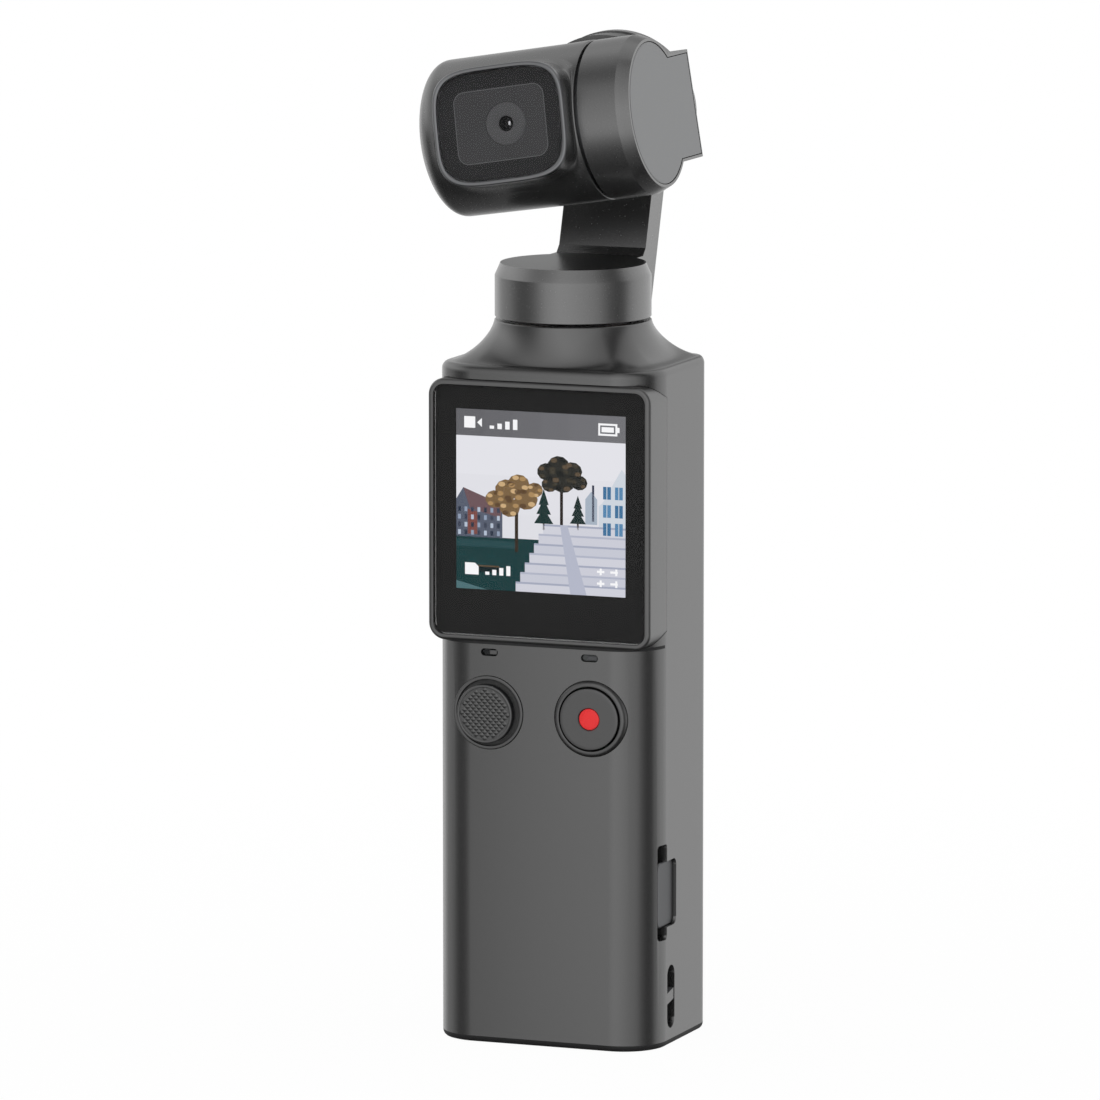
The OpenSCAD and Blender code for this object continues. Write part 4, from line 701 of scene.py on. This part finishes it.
def stick():
    """The stick's cup, its cap and the knurl on it."""
    top, floor_y, shelf = -FRONT - CUP_OUT, -FRONT + CUP_DEEP, -FRONT + CUP_SHELF
    lip, inner_lip, edge, thick = 0.12, 0.08, 0.06, 0.3
    cup = [
        (CUP_R, floor_y + CUP_FLOOR),
        *rounded_corner(CUP_R - lip, top + lip, lip, 0, 90),
        *rounded_corner(CUP_IN_R + inner_lip, top + inner_lip, inner_lip, 90, 180),
        (CUP_IN_R, shelf - edge), (CUP_IN_R - edge, shelf), (CUP_SHELF_R, shelf),
        (CUP_SHELF_R, shelf + thick), (CUP_IN_R, shelf + thick),
        (CUP_IN_R, floor_y), (CUP_HOLE_R, floor_y), (CUP_HOLE_R, floor_y + CUP_FLOOR),
    ]

    def cup_finish_and_shade(middle):
        """Paint on the lip, rubber on the shelf, and black below it as painted shade in the gap
        round the cap.
        """
        deep = middle.y / MM - shelf
        return 2 if deep > 0.05 else 1 if deep > -0.07 else 0

    control("joystick_cup", cup, -CTRL_X, STICK_FINISHES_AND_SHADE, cup_finish_and_shade)

    edge, inner_edge, skirt, slant = 0.16, 0.06, 0.2, 0.07
    rim_r, bed = STICK_R - CAP_RIM, STICK_Y + CAP_BED
    cap = [
        (1.1, STICK_Y + 1.0), (STICK_R, STICK_Y + 1.0), (STICK_R, STICK_Y + 0.24),
        *rounded_corner(STICK_R - edge, STICK_Y + edge, edge, 0, 90),
        *rounded_corner(rim_r, STICK_Y + inner_edge, inner_edge, 90, 180, 2),
        (rim_r - slant, bed), (0.0, bed),
    ]

    def cap_finish_and_shade(middle):
        """Paint on the rim, rubber on the bed, and black round the skirt as painted shade under the
        cap's edge.
        """
        far = hypot(middle.x / MM + CTRL_X, middle.z / MM - CTRL_Z)
        return 2 if middle.y / MM > STICK_Y + skirt else 1 if far < rim_r - 0.05 else 0

    control("joystick_cap", cap, -CTRL_X, STICK_FINISHES_AND_SHADE, cap_finish_and_shade, closed=False)
    pitch, foot, high, clear = 0.55, 0.37, 0.13, 0.33
    place = (-CTRL_X, bed, CTRL_Z)
    knurl = studs(place, pitch, 0.0, rim_r - clear, foot, high, "button_plastic")
    piece("joystick_knurl", knurl, "stick", "stick_rubber")


def record():
    """The record button's ring, its key and the red dot."""
    edge = 0.1
    ring = [(REC_RING_R, -FRONT + WALL), (REC_RING_R, -FRONT + 0.02)]
    ring += [
        (REC_RING_R - RING_SLOPE * t, -FRONT - RING_OUT * sin(radians(90 * t)))
        for t in (0.2, 0.45, 0.7, 1.0)
    ]
    ring += rounded_corner(REC_RING_IN + edge, -FRONT - RING_OUT + edge, edge, 90, 180)
    ring += [(REC_RING_IN, -FRONT + WALL)]
    control("record_ring", ring, CTRL_X, [FINISH["button_plastic"]])

    top, edge, gap = -FRONT - REC_OUT, 0.12, 0.05
    key = [
        (1.0, top + 1.7), (REC_R, top + 1.55),
        *rounded_corner(REC_R - edge, top + edge, edge, 0, 90),
        (REC_R - 0.5, top), (DOT_R + 0.14, top), (DOT_R + gap, top + 0.1),
        (DOT_R + gap, top + 0.6), (1.0, top + 0.6),
    ]
    control("record_button", key, CTRL_X, sharp=22)
    dot = [
        (DOT_R, top + 0.56), *rounded_corner(DOT_R - 0.08, top + 0.2, 0.08, 0, 80),
        (0.6, top + 0.11), (0.02, top + 0.1),
    ]
    control("record_dot", dot, CTRL_X, steps=64, closed=False)


# Studs: a field of small cones in rows, for the stick's knurl and the microphone's mesh


def studs_tree():
    """Four-sided cones on a turned grid, kept within Reach of a line Long, facing -Y at Place."""
    tree = bpy.data.node_groups.new("Stud field", "GeometryNodeTree")
    for name, kind in (
        ("Pitch", "Float"), ("Long", "Float"), ("Reach", "Float"), ("Foot", "Float"),
        ("High", "Float"), ("Place", "Vector"), ("Material", "Material"),
    ):
        tree.interface.new_socket(name, in_out="INPUT", socket_type="NodeSocket" + kind)
    tree.interface.new_socket("Geometry", in_out="OUTPUT", socket_type="NodeSocketGeometry")

    def shaped(kind, links, inputs=None):
        return add(tree, "GeometryNode" + kind, links, inputs).outputs[0]

    given = add(tree, "NodeGroupInput").outputs
    half = maths(tree, "MULTIPLY", given["Long"], 0.5)
    count = maths(tree, "DIVIDE", maths(tree, "ADD", half, given["Reach"]), given["Pitch"])
    odd = maths(tree, "MULTIPLY_ADD", maths(tree, "CEIL", count), 4.0, 1.0)
    size = maths(tree, "MULTIPLY", maths(tree, "SUBTRACT", odd, 1.0), given["Pitch"])
    grid = shaped("MeshGrid", {
        "Size X": size, "Size Y": size, "Vertices X": odd, "Vertices Y": odd,
    })
    slant = shaped("Transform", {"Geometry": grid}, {"Rotation": (0, 0, radians(45))})
    place = shaped("InputPosition", None)
    across = add(tree, "SeparateXYZ", {0: place}).outputs["X"]
    back = maths(tree, "MULTIPLY", half, -1.0)
    near = add(tree, "Clamp", {"Value": across, "Min": back, "Max": half}).outputs[0]
    spine = add(tree, "CombineXYZ", {"X": near}).outputs[0]
    far = add(
        tree, "VectorMath", {0: place, 1: spine}, operation="DISTANCE"
    ).outputs["Value"]
    within = add(
        tree, "FunctionNodeCompare", {0: far, 1: given["Reach"]},
        data_type="FLOAT", operation="LESS_THAN",
    ).outputs[0]
    cone = shaped(
        "MeshCone", {"Radius Bottom": given["Foot"], "Depth": given["High"]},
        {"Vertices": 4, "Radius Top": 0.0},
    )
    field = shaped("InstanceOnPoints", {"Points": slant, "Selection": within, "Instance": cone})
    placed = shaped(
        "Transform", {"Geometry": field, "Translation": given["Place"]},
        {"Rotation": (radians(90), 0, 0)},
    )
    real = shaped("RealizeInstances", {0: placed})
    coated = shaped("SetMaterial", {"Geometry": real, "Material": given["Material"]})
    add(tree, "NodeGroupOutput", {0: coated})
    return tree


STUDS = studs_tree()


def studs(place, pitch, long, reach, foot, high, slot):
    """A field of studs as a plain mesh; sizes in mm."""
    sizes = {
        "Pitch": pitch * MM, "Long": long * MM, "Reach": reach * MM, "Foot": foot * MM,
        "High": high * MM, "Place": Vector(place) * MM, "Material": FINISH[slot],
    }
    host = linked("studs", bpy.data.meshes.new("studs"))
    step = host.modifiers.new("studs", "NODES")
    step.node_group = STUDS
    for socket in STUDS.interface.items_tree:
        if socket.in_out == "INPUT":
            step[socket.identifier] = sizes[socket.name]
    return evaluated(host)


# Screen picture: flat lit patches behind the cover glass

PANEL_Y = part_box("display_panel")[0].y / MM
glass_low, glass_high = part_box("display_glass")

picture = {"shape": bmesh.new(), "paints": []}


def patch(points, colour, layer):
    """A flat patch; points in mm across from the middle and up from the lit square's foot."""
    if colour not in picture["paints"]:
        picture["paints"].append(colour)
    y = PANEL_Y - LAYER * (layer + 1)
    inside = [(min(max(x, -HALF), HALF), min(max(z, 0.0), TALL)) for x, z in points]
    face = picture["shape"].faces.new([
        picture["shape"].verts.new((x * MM, y * MM, (LIT_Z + z) * MM)) for x, z in inside
    ])
    face.normal_update()
    if face.normal.y > 0:
        face.normal_flip()
    face.material_index = picture["paints"].index(colour)


def block(x0, z0, x1, z1, colour, layer):
    patch([(x0, z0), (x1, z0), (x1, z1), (x0, z1)], colour, layer)


def disc(x, z, rx, rz, colour, layer, count):
    turn = 2 * pi / count
    points = [(x + rx * cos(i * turn), z + rz * sin(i * turn)) for i in range(count)]
    patch(points, colour, layer)


def canopy(clumps, tones, layer):
    """A crown of leaves: dark clumps side by side, each with lighter and darker leaves over it."""
    for x, z, r in clumps:
        disc(x, z, r, r * 0.86, tones[0], layer, 11)
    for i, (x, z, r) in enumerate(clumps):
        for j in range(5):
            turn, out, tone = 1.3 * j + i, 0.62 * r, tones[1 + (i + j) % 3]
            leaf_x, leaf_z = x + out * cos(turn), z + out * sin(turn)
            disc(leaf_x, leaf_z, r * 0.3, r * 0.2, tone, layer + 1, 9)


def fir(x, z, half, high, colour, layer):
    """A fir as three tiers on a short trunk."""
    for i in range(3):
        low, wide = z + high * 0.27 * i, half * (1 - 0.24 * i)
        patch([(x - wide, low), (x + wide, low), (x, low + high * 0.46)], colour, layer)
    block(x - 0.12, z - 0.8, x + 0.12, z, "3a2f28", layer)


def draw_picture():
    """A quay with a row of houses, trees and steps, under a bar of icons."""
    for i, colour in enumerate(("dcdce2", "dedee4", "e0e0e6", "e3e3e9")):
        block(-HALF, SKY_TOP * i / 4, HALF, SKY_TOP * (i + 1) / 4, colour, 0)
    for i in range(6):
        tone, cool = f"{0x62 + 3 * i:02x}", f"{0x66 + 3 * i:02x}"
        left, right = -HALF + i * TALL / 6, -HALF + (i + 1) * TALL / 6
        block(left, SKY_TOP, right, TALL, tone * 2 + cool, 0)
    # Row of old houses on the left bank, its roofs stepping down
    patch(
        [(-HALF, 6.6), (-5.2, 6.6), (-5.2, 10.9), (-7.4, 11.6), (-10.5, 12.9), (-HALF, 11.4)],
        "555c6c", 1,
    )
    patch([(-10.5, 12.9), (-5.4, 11.0), (-5.4, 9.2), (-9.6, 10.3)], "6b5358", 2)
    patch([(-9.9, 10.2), (-8.6, 9.9), (-8.6, 7.0), (-9.9, 7.0)], "7a4a45", 2)
    for row in range(4):
        for column in range(7):
            left = -HALF + 0.25 + column * 0.88
            tone = ("b4bfd0", "2b3444", "8f9cb2", "3c4152")[(row * 3 + column) % 4]
            block(left, 6.9 + row * 0.98, left + 0.38, 7.5 + row * 0.98, tone, 3)
    # Canal with the quay's shadow on it
    block(-HALF, 0, 0.2, 6.7, "14383a", 1)
    block(-HALF, 5.4, -3.4, 6.3, "23464a", 2)
    for i in range(5):
        left, low = -HALF + 0.4 + i * 1.3, 4.2 - 0.5 * (i % 3)
        block(left, low, left + 1.0, low + 0.2, "1d4446", 2)
    patch([(-HALF, 0), (-7.2, 0), (-HALF, 1.0)], "4c6f74", 2)
    # Moored punt
    patch([(-10.2, 2.9), (-5.0, 2.9), (-5.6, 2.2), (-9.7, 2.2)], "0d1f22", 2)
    block(-9.6, 2.9, -5.6, 3.1, "5a4a38", 3)
    # Broad flight of pale stone steps down to the water
    for i in range(7):
        left, low = -3.4 + 0.62 * i, 1.25 * i
        block(left, low, HALF, low + 1.0, ("cfd0da", "c6c8d4", "cbccd7")[i % 3], 2)
        block(left, low + 1.0, HALF, low + 1.25, ("a3a8bb", "b0b4c5")[i % 2], 2)
    patch([(4.0, 0), (6.2, 0), (3.6, 8.75), (2.6, 8.75)], "b3b7c8", 3)
    # Autumn tree on the quay and a dark one behind, both with wide uneven crowns
    block(-3.5, 5.0, -3.05, 10.0, "33291f", 3)
    canopy((
        (-6.2, 11.6, 1.3), (-4.6, 12.8, 1.6), (-3.0, 13.6, 1.5), (-2.0, 11.8, 1.6),
        (-4.2, 10.6, 1.4), (-0.8, 13.0, 1.1),
    ), ("7a6142", "a8875a", "5c452e", "c9a97c"), 3)
    block(2.6, 8.6, 3.0, 14.4, "241d19", 2)
    canopy((
        (0.8, 15.4, 1.3), (2.4, 16.2, 1.5), (4.2, 15.6, 1.4), (5.2, 14.2, 1.1),
        (3.0, 14.2, 1.6), (1.2, 13.8, 1.1),
    ), ("2a2a26", "3f3a30", "1b1d1c", "5a4c3c"), 3)
    fir(0.4, 8.8, 1.3, 4.4, "1a3230", 2)
    fir(5.0, 9.0, 1.1, 3.6, "20302f", 2)
    # Stepped gable and chimneys on the right bank
    patch([
        (7.8, 7.2), (HALF, 7.2), (HALF, 15.4), (10.9, 16.2), (10.3, 15.2), (9.6, 14.0),
        (8.9, 12.8), (8.3, 11.8), (7.8, 11.4),
    ], "cdd4dd", 1)
    for row in range(3):
        for column in range(2):
            left, low = 8.4 + column * 1.6, 7.7 + row * 2.3
            pane = ("3f6f98", "5685ad")[(row + column) % 2]
            block(left, low, left + 1.05, low + 1.6, pane, 3)
            block(left + 0.45, low, left + 0.58, low + 1.6, "b9c6d4", 4)
    block(6.9, 9.4, 7.2, 14.0, "3b3f52", 1)
    patch([(6.0, 9.0), (7.6, 9.0), (7.6, 12.2), (6.8, 13.2), (6.0, 12.2)], "a6b2c0", 1)
    # Icons: camera, level bars, cell, card and four setting marks
    white, grey = "f6f6f8", "6c6d72"
    for x0, z0, x1, z1, tone, layer in (
        (-10.35, 1.0, -8.85, 2.45, white, 3), (7.75, 0.85, 10.3, 2.4, white, 2),
        (8.0, 1.1, 10.05, 2.15, grey, 3), (8.2, 1.3, 9.85, 1.95, white, 4),
        (10.3, 1.3, 10.6, 1.95, white, 3),
    ):
        block(x0, SKY_TOP + z0, x1, SKY_TOP + z1, tone, layer)
    patch([(-8.6, SKY_TOP + 1.72), (-7.95, SKY_TOP + 1.15), (-7.95, SKY_TOP + 2.3)], white, 3)
    for i in range(4):
        left, foot = -6.9 + i * 1.05, SKY_TOP + 1.0
        block(left, foot, left + 0.6, foot + 0.4 + 0.3 * i, white, 3)
        left, foot = -7.5 + i * 0.95, 1.9
        block(left, foot, left + 0.55, foot + 0.4 + 0.28 * i, white, 5)
    patch([(-10.25, 1.85), (-8.4, 1.85), (-8.4, 2.9), (-8.9, 3.35), (-10.25, 3.35)], white, 5)
    block(-9.8, 2.2, -8.9, 2.5, "6f7f86", 4)
    for i, (x, z) in enumerate(((8.1, 3.1), (9.9, 3.1), (8.1, 1.6), (9.9, 1.6))):
        shift = 0.3 * (i % 2)
        block(x - 0.5, z - 0.14, x + 0.5, z + 0.14, white, 5)
        block(x - 0.14 + shift, z - 0.42, x + 0.14 + shift, z + 0.42, white, 5)
    mesh = meshed(picture["shape"])
    for colour in picture["paints"]:
        mesh.materials.append(lit(colour))
    piece("screen_picture", mesh, "handle", "display_face")


def glass_ink():
    """The black border printed on the back of the cover glass, round the lit square."""
    sunk, inset = 0.02, 0.12
    y = glass_high.y / MM - sunk
    x0, x1 = glass_low.x / MM + inset, glass_high.x / MM - inset
    z0, z1 = glass_low.z / MM + inset, glass_high.z / MM - inset
    z2, z3 = LIT_Z, LIT_Z + TALL
    shape = bmesh.new()
    for a, b, c, d in (
        (x0, z0, x1, z2), (x0, z3, x1, z1), (x0, z2, -HALF, z3), (HALF, z2, x1, z3)
    ):
        shape.faces.new([
            shape.verts.new((px * MM, y * MM, pz * MM))
            for px, pz in ((a, b), (c, b), (c, d), (a, d))
        ])
    piece("glass_ink", meshed(shape), "handle", "display_face", finish=GLASS_INK)


def slots():
    """What sits in the two slots under the screen, and the black seal along the frame's foot,
    partly a seal and partly painted shade.
    """
    light, gauze, grey = "status_light_skin", "microphone_gauze_frame", FINISH["port_plastic"]
    for name, x, half_w, half_h, r, sunk, thick, slot, finish, *stands_for in (
        (light, SLOT_X, 1.1, 0.42, 0.4, 0.35, 0.6, "light_pipe", None, "status_light_pipe"),
        ("status_light_window", SLOT_X + 0.28, 0.68, 0.29, 0.12, 0.2, 0.3, "light_pipe", grey),
        (gauze, 0.45 - SLOT_X, 0.5, 0.3, 0.12, 0.15, 0.3, "button_plastic", None),
    ):
        bed = plate(x, SLOT_Z, half_w, half_h, r, -FRONT + sunk, thick)
        piece(name, bed, "handle", slot, *stands_for, finish=finish)

    # The black seal laps the handle's front and sides, from inside the frame's foot to under it;
    # its dark strip is partly a seal and partly painted shade under the frame
    out, tuck, lap, hang, off_back = 0.05, 0.1, 0.1, 0.27, 0.4
    low, high = (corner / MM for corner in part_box("screen_frame"))
    lines = zip(outline(-out, 1.0), outline(tuck, 1.0))
    path = [pair for pair in lines if pair[0][1] < high.y - off_back]
    top, foot = low.z + lap, low.z - hang
    rows = [[(*a, top), (*a, foot), (*b, foot), (*b, top)] for a, b in path]
    for end, at in ((0, 0), (-1, len(rows) + 1)):
        rows.insert(at, [tuple(np.mean(rows[end], axis=0))] * 4)
    seal_and_shade = smoothed(grid_mesh(rows, wrap_points=True), 40)
    piece("screen_seal_and_shade", seal_and_shade, "handle", "cap_plastic")


def microphone_weave():
    """The fine mesh in the microphone's slot."""
    pitch, long, reach, foot, high, off = 0.24, 1.2, 0.42, 0.15, 0.12, 0.01
    place = (-SLOT_X, -FRONT + WALL / 2 + off, SLOT_Z)
    weave = studs(place, pitch, long, reach, foot, high, "port_plastic")
    piece("microphone_weave", weave, "handle", "trim_plastic")


def port():
    """The shallow grey bed that shows in the accessory port."""
    half_w, half_h = PORT_W / 2 - PORT_GAP, PORT_H / 2 - PORT_GAP
    face, thick, edge = -HALF_W + PORT_SUNK, 0.8, 0.1
    bed = plate(PORT_Y, PORT_Z, half_w, half_h, PORT_R, face, thick, edge)
    bed.transform(Matrix.Rotation(radians(90), 4, "Z"))
    piece("port_bed", bed, "handle", "port_plastic", finish=PORT_BED)


def shaded_drum_top(middle):
    """The flat top of the pan drum, darkened as painted shade under the head."""
    return middle.z > 98.7 and middle.xy.length < 9.0


def shaded_arm_top(middle):
    """The top of the roll arm's end, behind the head, darkened as painted shade."""
    return middle.z > 124.3 and middle.y > 8.0


def eyelet_bar(middle):
    """The slanted bar across the strap eyelet, which carries the handle's paint."""
    return middle.x > 14.3 and abs(middle.z - 6.25 - 0.19 * (middle.y + 4.3)) < 0.74


# What shows, edge by edge

shoulder()
head()
window()
stick()
record()
draw_picture()
glass_ink()
softened("handle_shell", 0.06, sharp=30)
softened("screen_frame", 0.04, limit=50, sharp=60)
for node in ("display_glass", "window_glass"):
    # The lamps light the ink and the field straight through the glass
    softened(node, 0.05, limit=50, sharp=50).visible_shadow = False
softened("bottom_cap", 0.03, limit=50, sharp=40)
# The tops under the head get the darker paint: painted shade
softened("pan_yoke", 0.06, limit=15, sharp=14, where=shaded_drum_top, finish=SHADE_TOP_PAINT)
softened("roll_arm", 0.06, limit=15, sharp=14, where=shaded_arm_top, finish=SHADE_TOP_PAINT)
softened("side_cover", 0.2, limit=50, sharp=25)
softened("neck_cover", 0.06)
softened("port_liner", 0.08, limit=50, sharp=40)
slots()
port()
softened(
    "lanyard_pocket", 0.05, limit=50, sharp=40, where=eyelet_bar, finish=FINISH["handle_paint"]
)
microphone_weave()


# Studio: a dome for reflections, lamps for matt surfaces, white floor and world


def towards(azimuth, elevation):
    """The way from the object to a viewer at these angles."""
    flat = cos(elevation)
    return Vector((sin(azimuth) * flat, -cos(azimuth) * flat, sin(elevation)))


def lamp(name, width, height, azimuth, elevation, distance, power):
    """A soft lamp aimed at the camera's middle; reflections come from the dome instead."""
    light = bpy.data.lights.new(name, "AREA")
    light.shape = "RECTANGLE"
    light.size, light.size_y = width, height
    light.energy = power
    obj = linked(name, light)
    back = towards(radians(azimuth), radians(elevation))
    obj.location = Vector((0, 0, LAMP_AIM_Z * MM)) + back * distance
    obj.rotation_euler = back.to_track_quat("Z", "Y").to_euler()
    obj.visible_camera = obj.visible_glossy = False


# Brightness of the dome by azimuth in degrees, from the screen's side towards the port's
ROUND = (
    (-180, 0.88), (-125, 0.82), (-106, 0.5), (-88, 0.42), (-66, 0.13), (-52, 0.1), (-36, 0.22),
    (-22, 0.56), (0, 0.72), (20, 0.66), (40, 0.56), (58, 0.45), (72, 0.22), (88, 0.07),
    (102, 0.12), (113, 0.5), (127, 0.66), (145, 0.75), (180, 0.82),
)
# The same well above the horizon, where the left flag ends
ROUND_HIGH = (
    (-180, 0.3), (-150, 0.5), (-118, 0.84), (-88, 0.78), (-66, 0.64), (-45, 0.38), (-22, 0.46),
    *[stop for stop in ROUND if stop[0] >= 0],
)
# How far the second holds, by elevation in degrees
OVER_FLAG = ((-90, 0.0), (2, 0.0), (20, 1.0), (40, 1.0), (55, 0.1), (90, 0.0))
# Brightness by elevation in degrees
RISE = (
    (-90, 0.08), (-60, 0.1), (-40, 0.2), (-27, 0.45), (-14, 1.0), (0, 1.0), (20, 1.0),
    (37, 0.82), (55, 0.66), (70, 0.56), (90, 0.5),
)


def ramp(tree, fac, stops):
    """A grey ramp over the range of degrees that its stops span."""
    made = add(tree, "ValToRGB", {"Fac": fac})
    points = made.color_ramp.elements
    low, high = stops[0][0], stops[-1][0]
    for i, (angle, level) in enumerate(stops):
        spot = (angle - low) / (high - low)
        point = points[i] if i < 2 else points.new(spot)
        point.position, point.color = spot, (level, level, level, 1)
    return made.outputs["Color"]


def dome():
    """A white tent with two dark flags at its sides and a dark foot, seen by reflections alone."""
    radius, middle = 1.0, 0.07
    shape = bmesh.new()
    place = Matrix.Translation((0, 0, middle))
    bmesh.ops.create_icosphere(shape, subdivisions=5, radius=radius, matrix=place)
    bmesh.ops.reverse_faces(shape, faces=shape.faces)
    mesh = meshed(shape)
    made, tree = blank("Tent cloth and flags")
    place = add(tree, "TexCoord").outputs["Object"]
    off = add(
        tree, "VectorMath", {0: place}, {1: (0, 0, middle)}, operation="SUBTRACT"
    ).outputs[0]
    way = add(tree, "VectorMath", {0: off}, operation="NORMALIZE").outputs[0]
    x, y, z = add(tree, "SeparateXYZ", {0: way}).outputs
    turn = maths(tree, "ARCTAN2", x, maths(tree, "MULTIPLY", y, -1.0))
    azimuth = maths(tree, "MULTIPLY_ADD", turn, 1 / (2 * pi), 0.5)
    elevation = maths(tree, "MULTIPLY_ADD", maths(tree, "ARCSINE", z), 1 / pi, 0.5)
    around = add(tree, "Mix", {
        0: ramp(tree, elevation, OVER_FLAG), 6: ramp(tree, azimuth, ROUND),
        7: ramp(tree, azimuth, ROUND_HIGH),
    }, data_type="RGBA").outputs[2]
    level = add(tree, "Mix", {
        6: around, 7: ramp(tree, elevation, RISE),
    }, {0: 1.0}, data_type="RGBA", blend_type="MULTIPLY").outputs[2]
    wired(tree, "Emission", {"Color": level}, {"Strength": 1.0})
    made.cycles.emission_sampling = "NONE"
    mesh.materials.append(made)
    obj = linked("dome", mesh)
    obj.visible_camera = obj.visible_diffuse = obj.visible_transmission = False
    obj.visible_shadow = obj.visible_volume_scatter = False


def eye_rays(tree):
    """1 for a ray that is seen straight, mirrored or through glass, 0 for one that lights."""
    path = add(tree, "LightPath").outputs
    seen = maths(tree, "MAXIMUM", path["Is Camera Ray"], path["Is Glossy Ray"])
    return maths(tree, "MAXIMUM", seen, path["Is Transmission Ray"])


def world():
    made = bpy.data.worlds.new("Studio")
    bpy.context.scene.world = made
    made.use_nodes = True
    tree = made.node_tree
    tree.nodes.clear()
    level = add(
        tree, "MapRange", {"Value": eye_rays(tree)}, {"To Min": 0.45, "To Max": 1.0}
    ).outputs[0]
    back = add(tree, "Background", {"Strength": level}, {"Color": (1, 1, 1, 1)})
    add(tree, "OutputWorld", {"Surface": back.outputs[0]})


def floor():
    """White paper that keeps a faint shadow at the camera's foot."""
    size, sunk = 6.0, 0.05
    made, tree = blank("White studio paper")
    paper = add(tree, "BsdfDiffuse", None, {"Color": (0.8, 0.8, 0.8, 1)})
    glow = add(tree, "Emission", None, {"Color": (1, 1, 1, 1), "Strength": 1.0})
    place = add(tree, "TexCoord").outputs["Object"]
    away = add(tree, "VectorMath", {0: place}, operation="LENGTH").outputs["Value"]
    glare = add(
        tree, "MapRange", {"Value": away},
        {"From Min": 0.03, "From Max": 0.2, "To Min": 0.97, "To Max": 1.0},
    ).outputs["Result"]
    share = maths(tree, "MULTIPLY", eye_rays(tree), glare)
    wired(tree, "MixShader", {"Fac": share, 1: paper.outputs[0], 2: glow.outputs[0]})
    mesh = bpy.data.meshes.new("floor")
    ways = ((-1, -1), (1, -1), (1, 1), (-1, 1))
    mesh.from_pydata([(size * x, size * y, -sunk * MM) for x, y in ways], [], [(0, 1, 2, 3)])
    mesh.materials.append(made)
    obj = linked("floor", mesh)
    obj.visible_glossy = False


world()
floor()
dome()
LAMP_AIM_Z = 70
for settings in (
    ("front_lamp", 0.9, 0.9, 5, 20, 1.3, 4), ("right_lamp", 0.9, 1.2, 100, 20, 1.2, 4),
    ("left_lamp", 0.7, 1.0, -100, 20, 1.2, 2.5), ("top_lamp", 0.8, 0.8, 10, 80, 1.2, 4),
):
    lamp(*settings)

# Camera, fitted to the photograph

AZIMUTH, ELEVATION = radians(21.441), radians(8.399)
DISTANCE = 1227.455 * MM
AIM = Vector((-2.722, -1.069, 62.0)) * MM
eye = bpy.data.cameras.new("eye")
eye.lens, eye.sensor_width, eye.clip_start = 316.7, 36, 0.01
view = linked("eye", eye)
view.location = AIM + towards(AZIMUTH, ELEVATION) * DISTANCE
view.rotation_euler = (pi / 2 - ELEVATION, 0, AZIMUTH)
bpy.context.scene.camera = view
bpy.context.scene.view_settings.view_transform = "Standard"
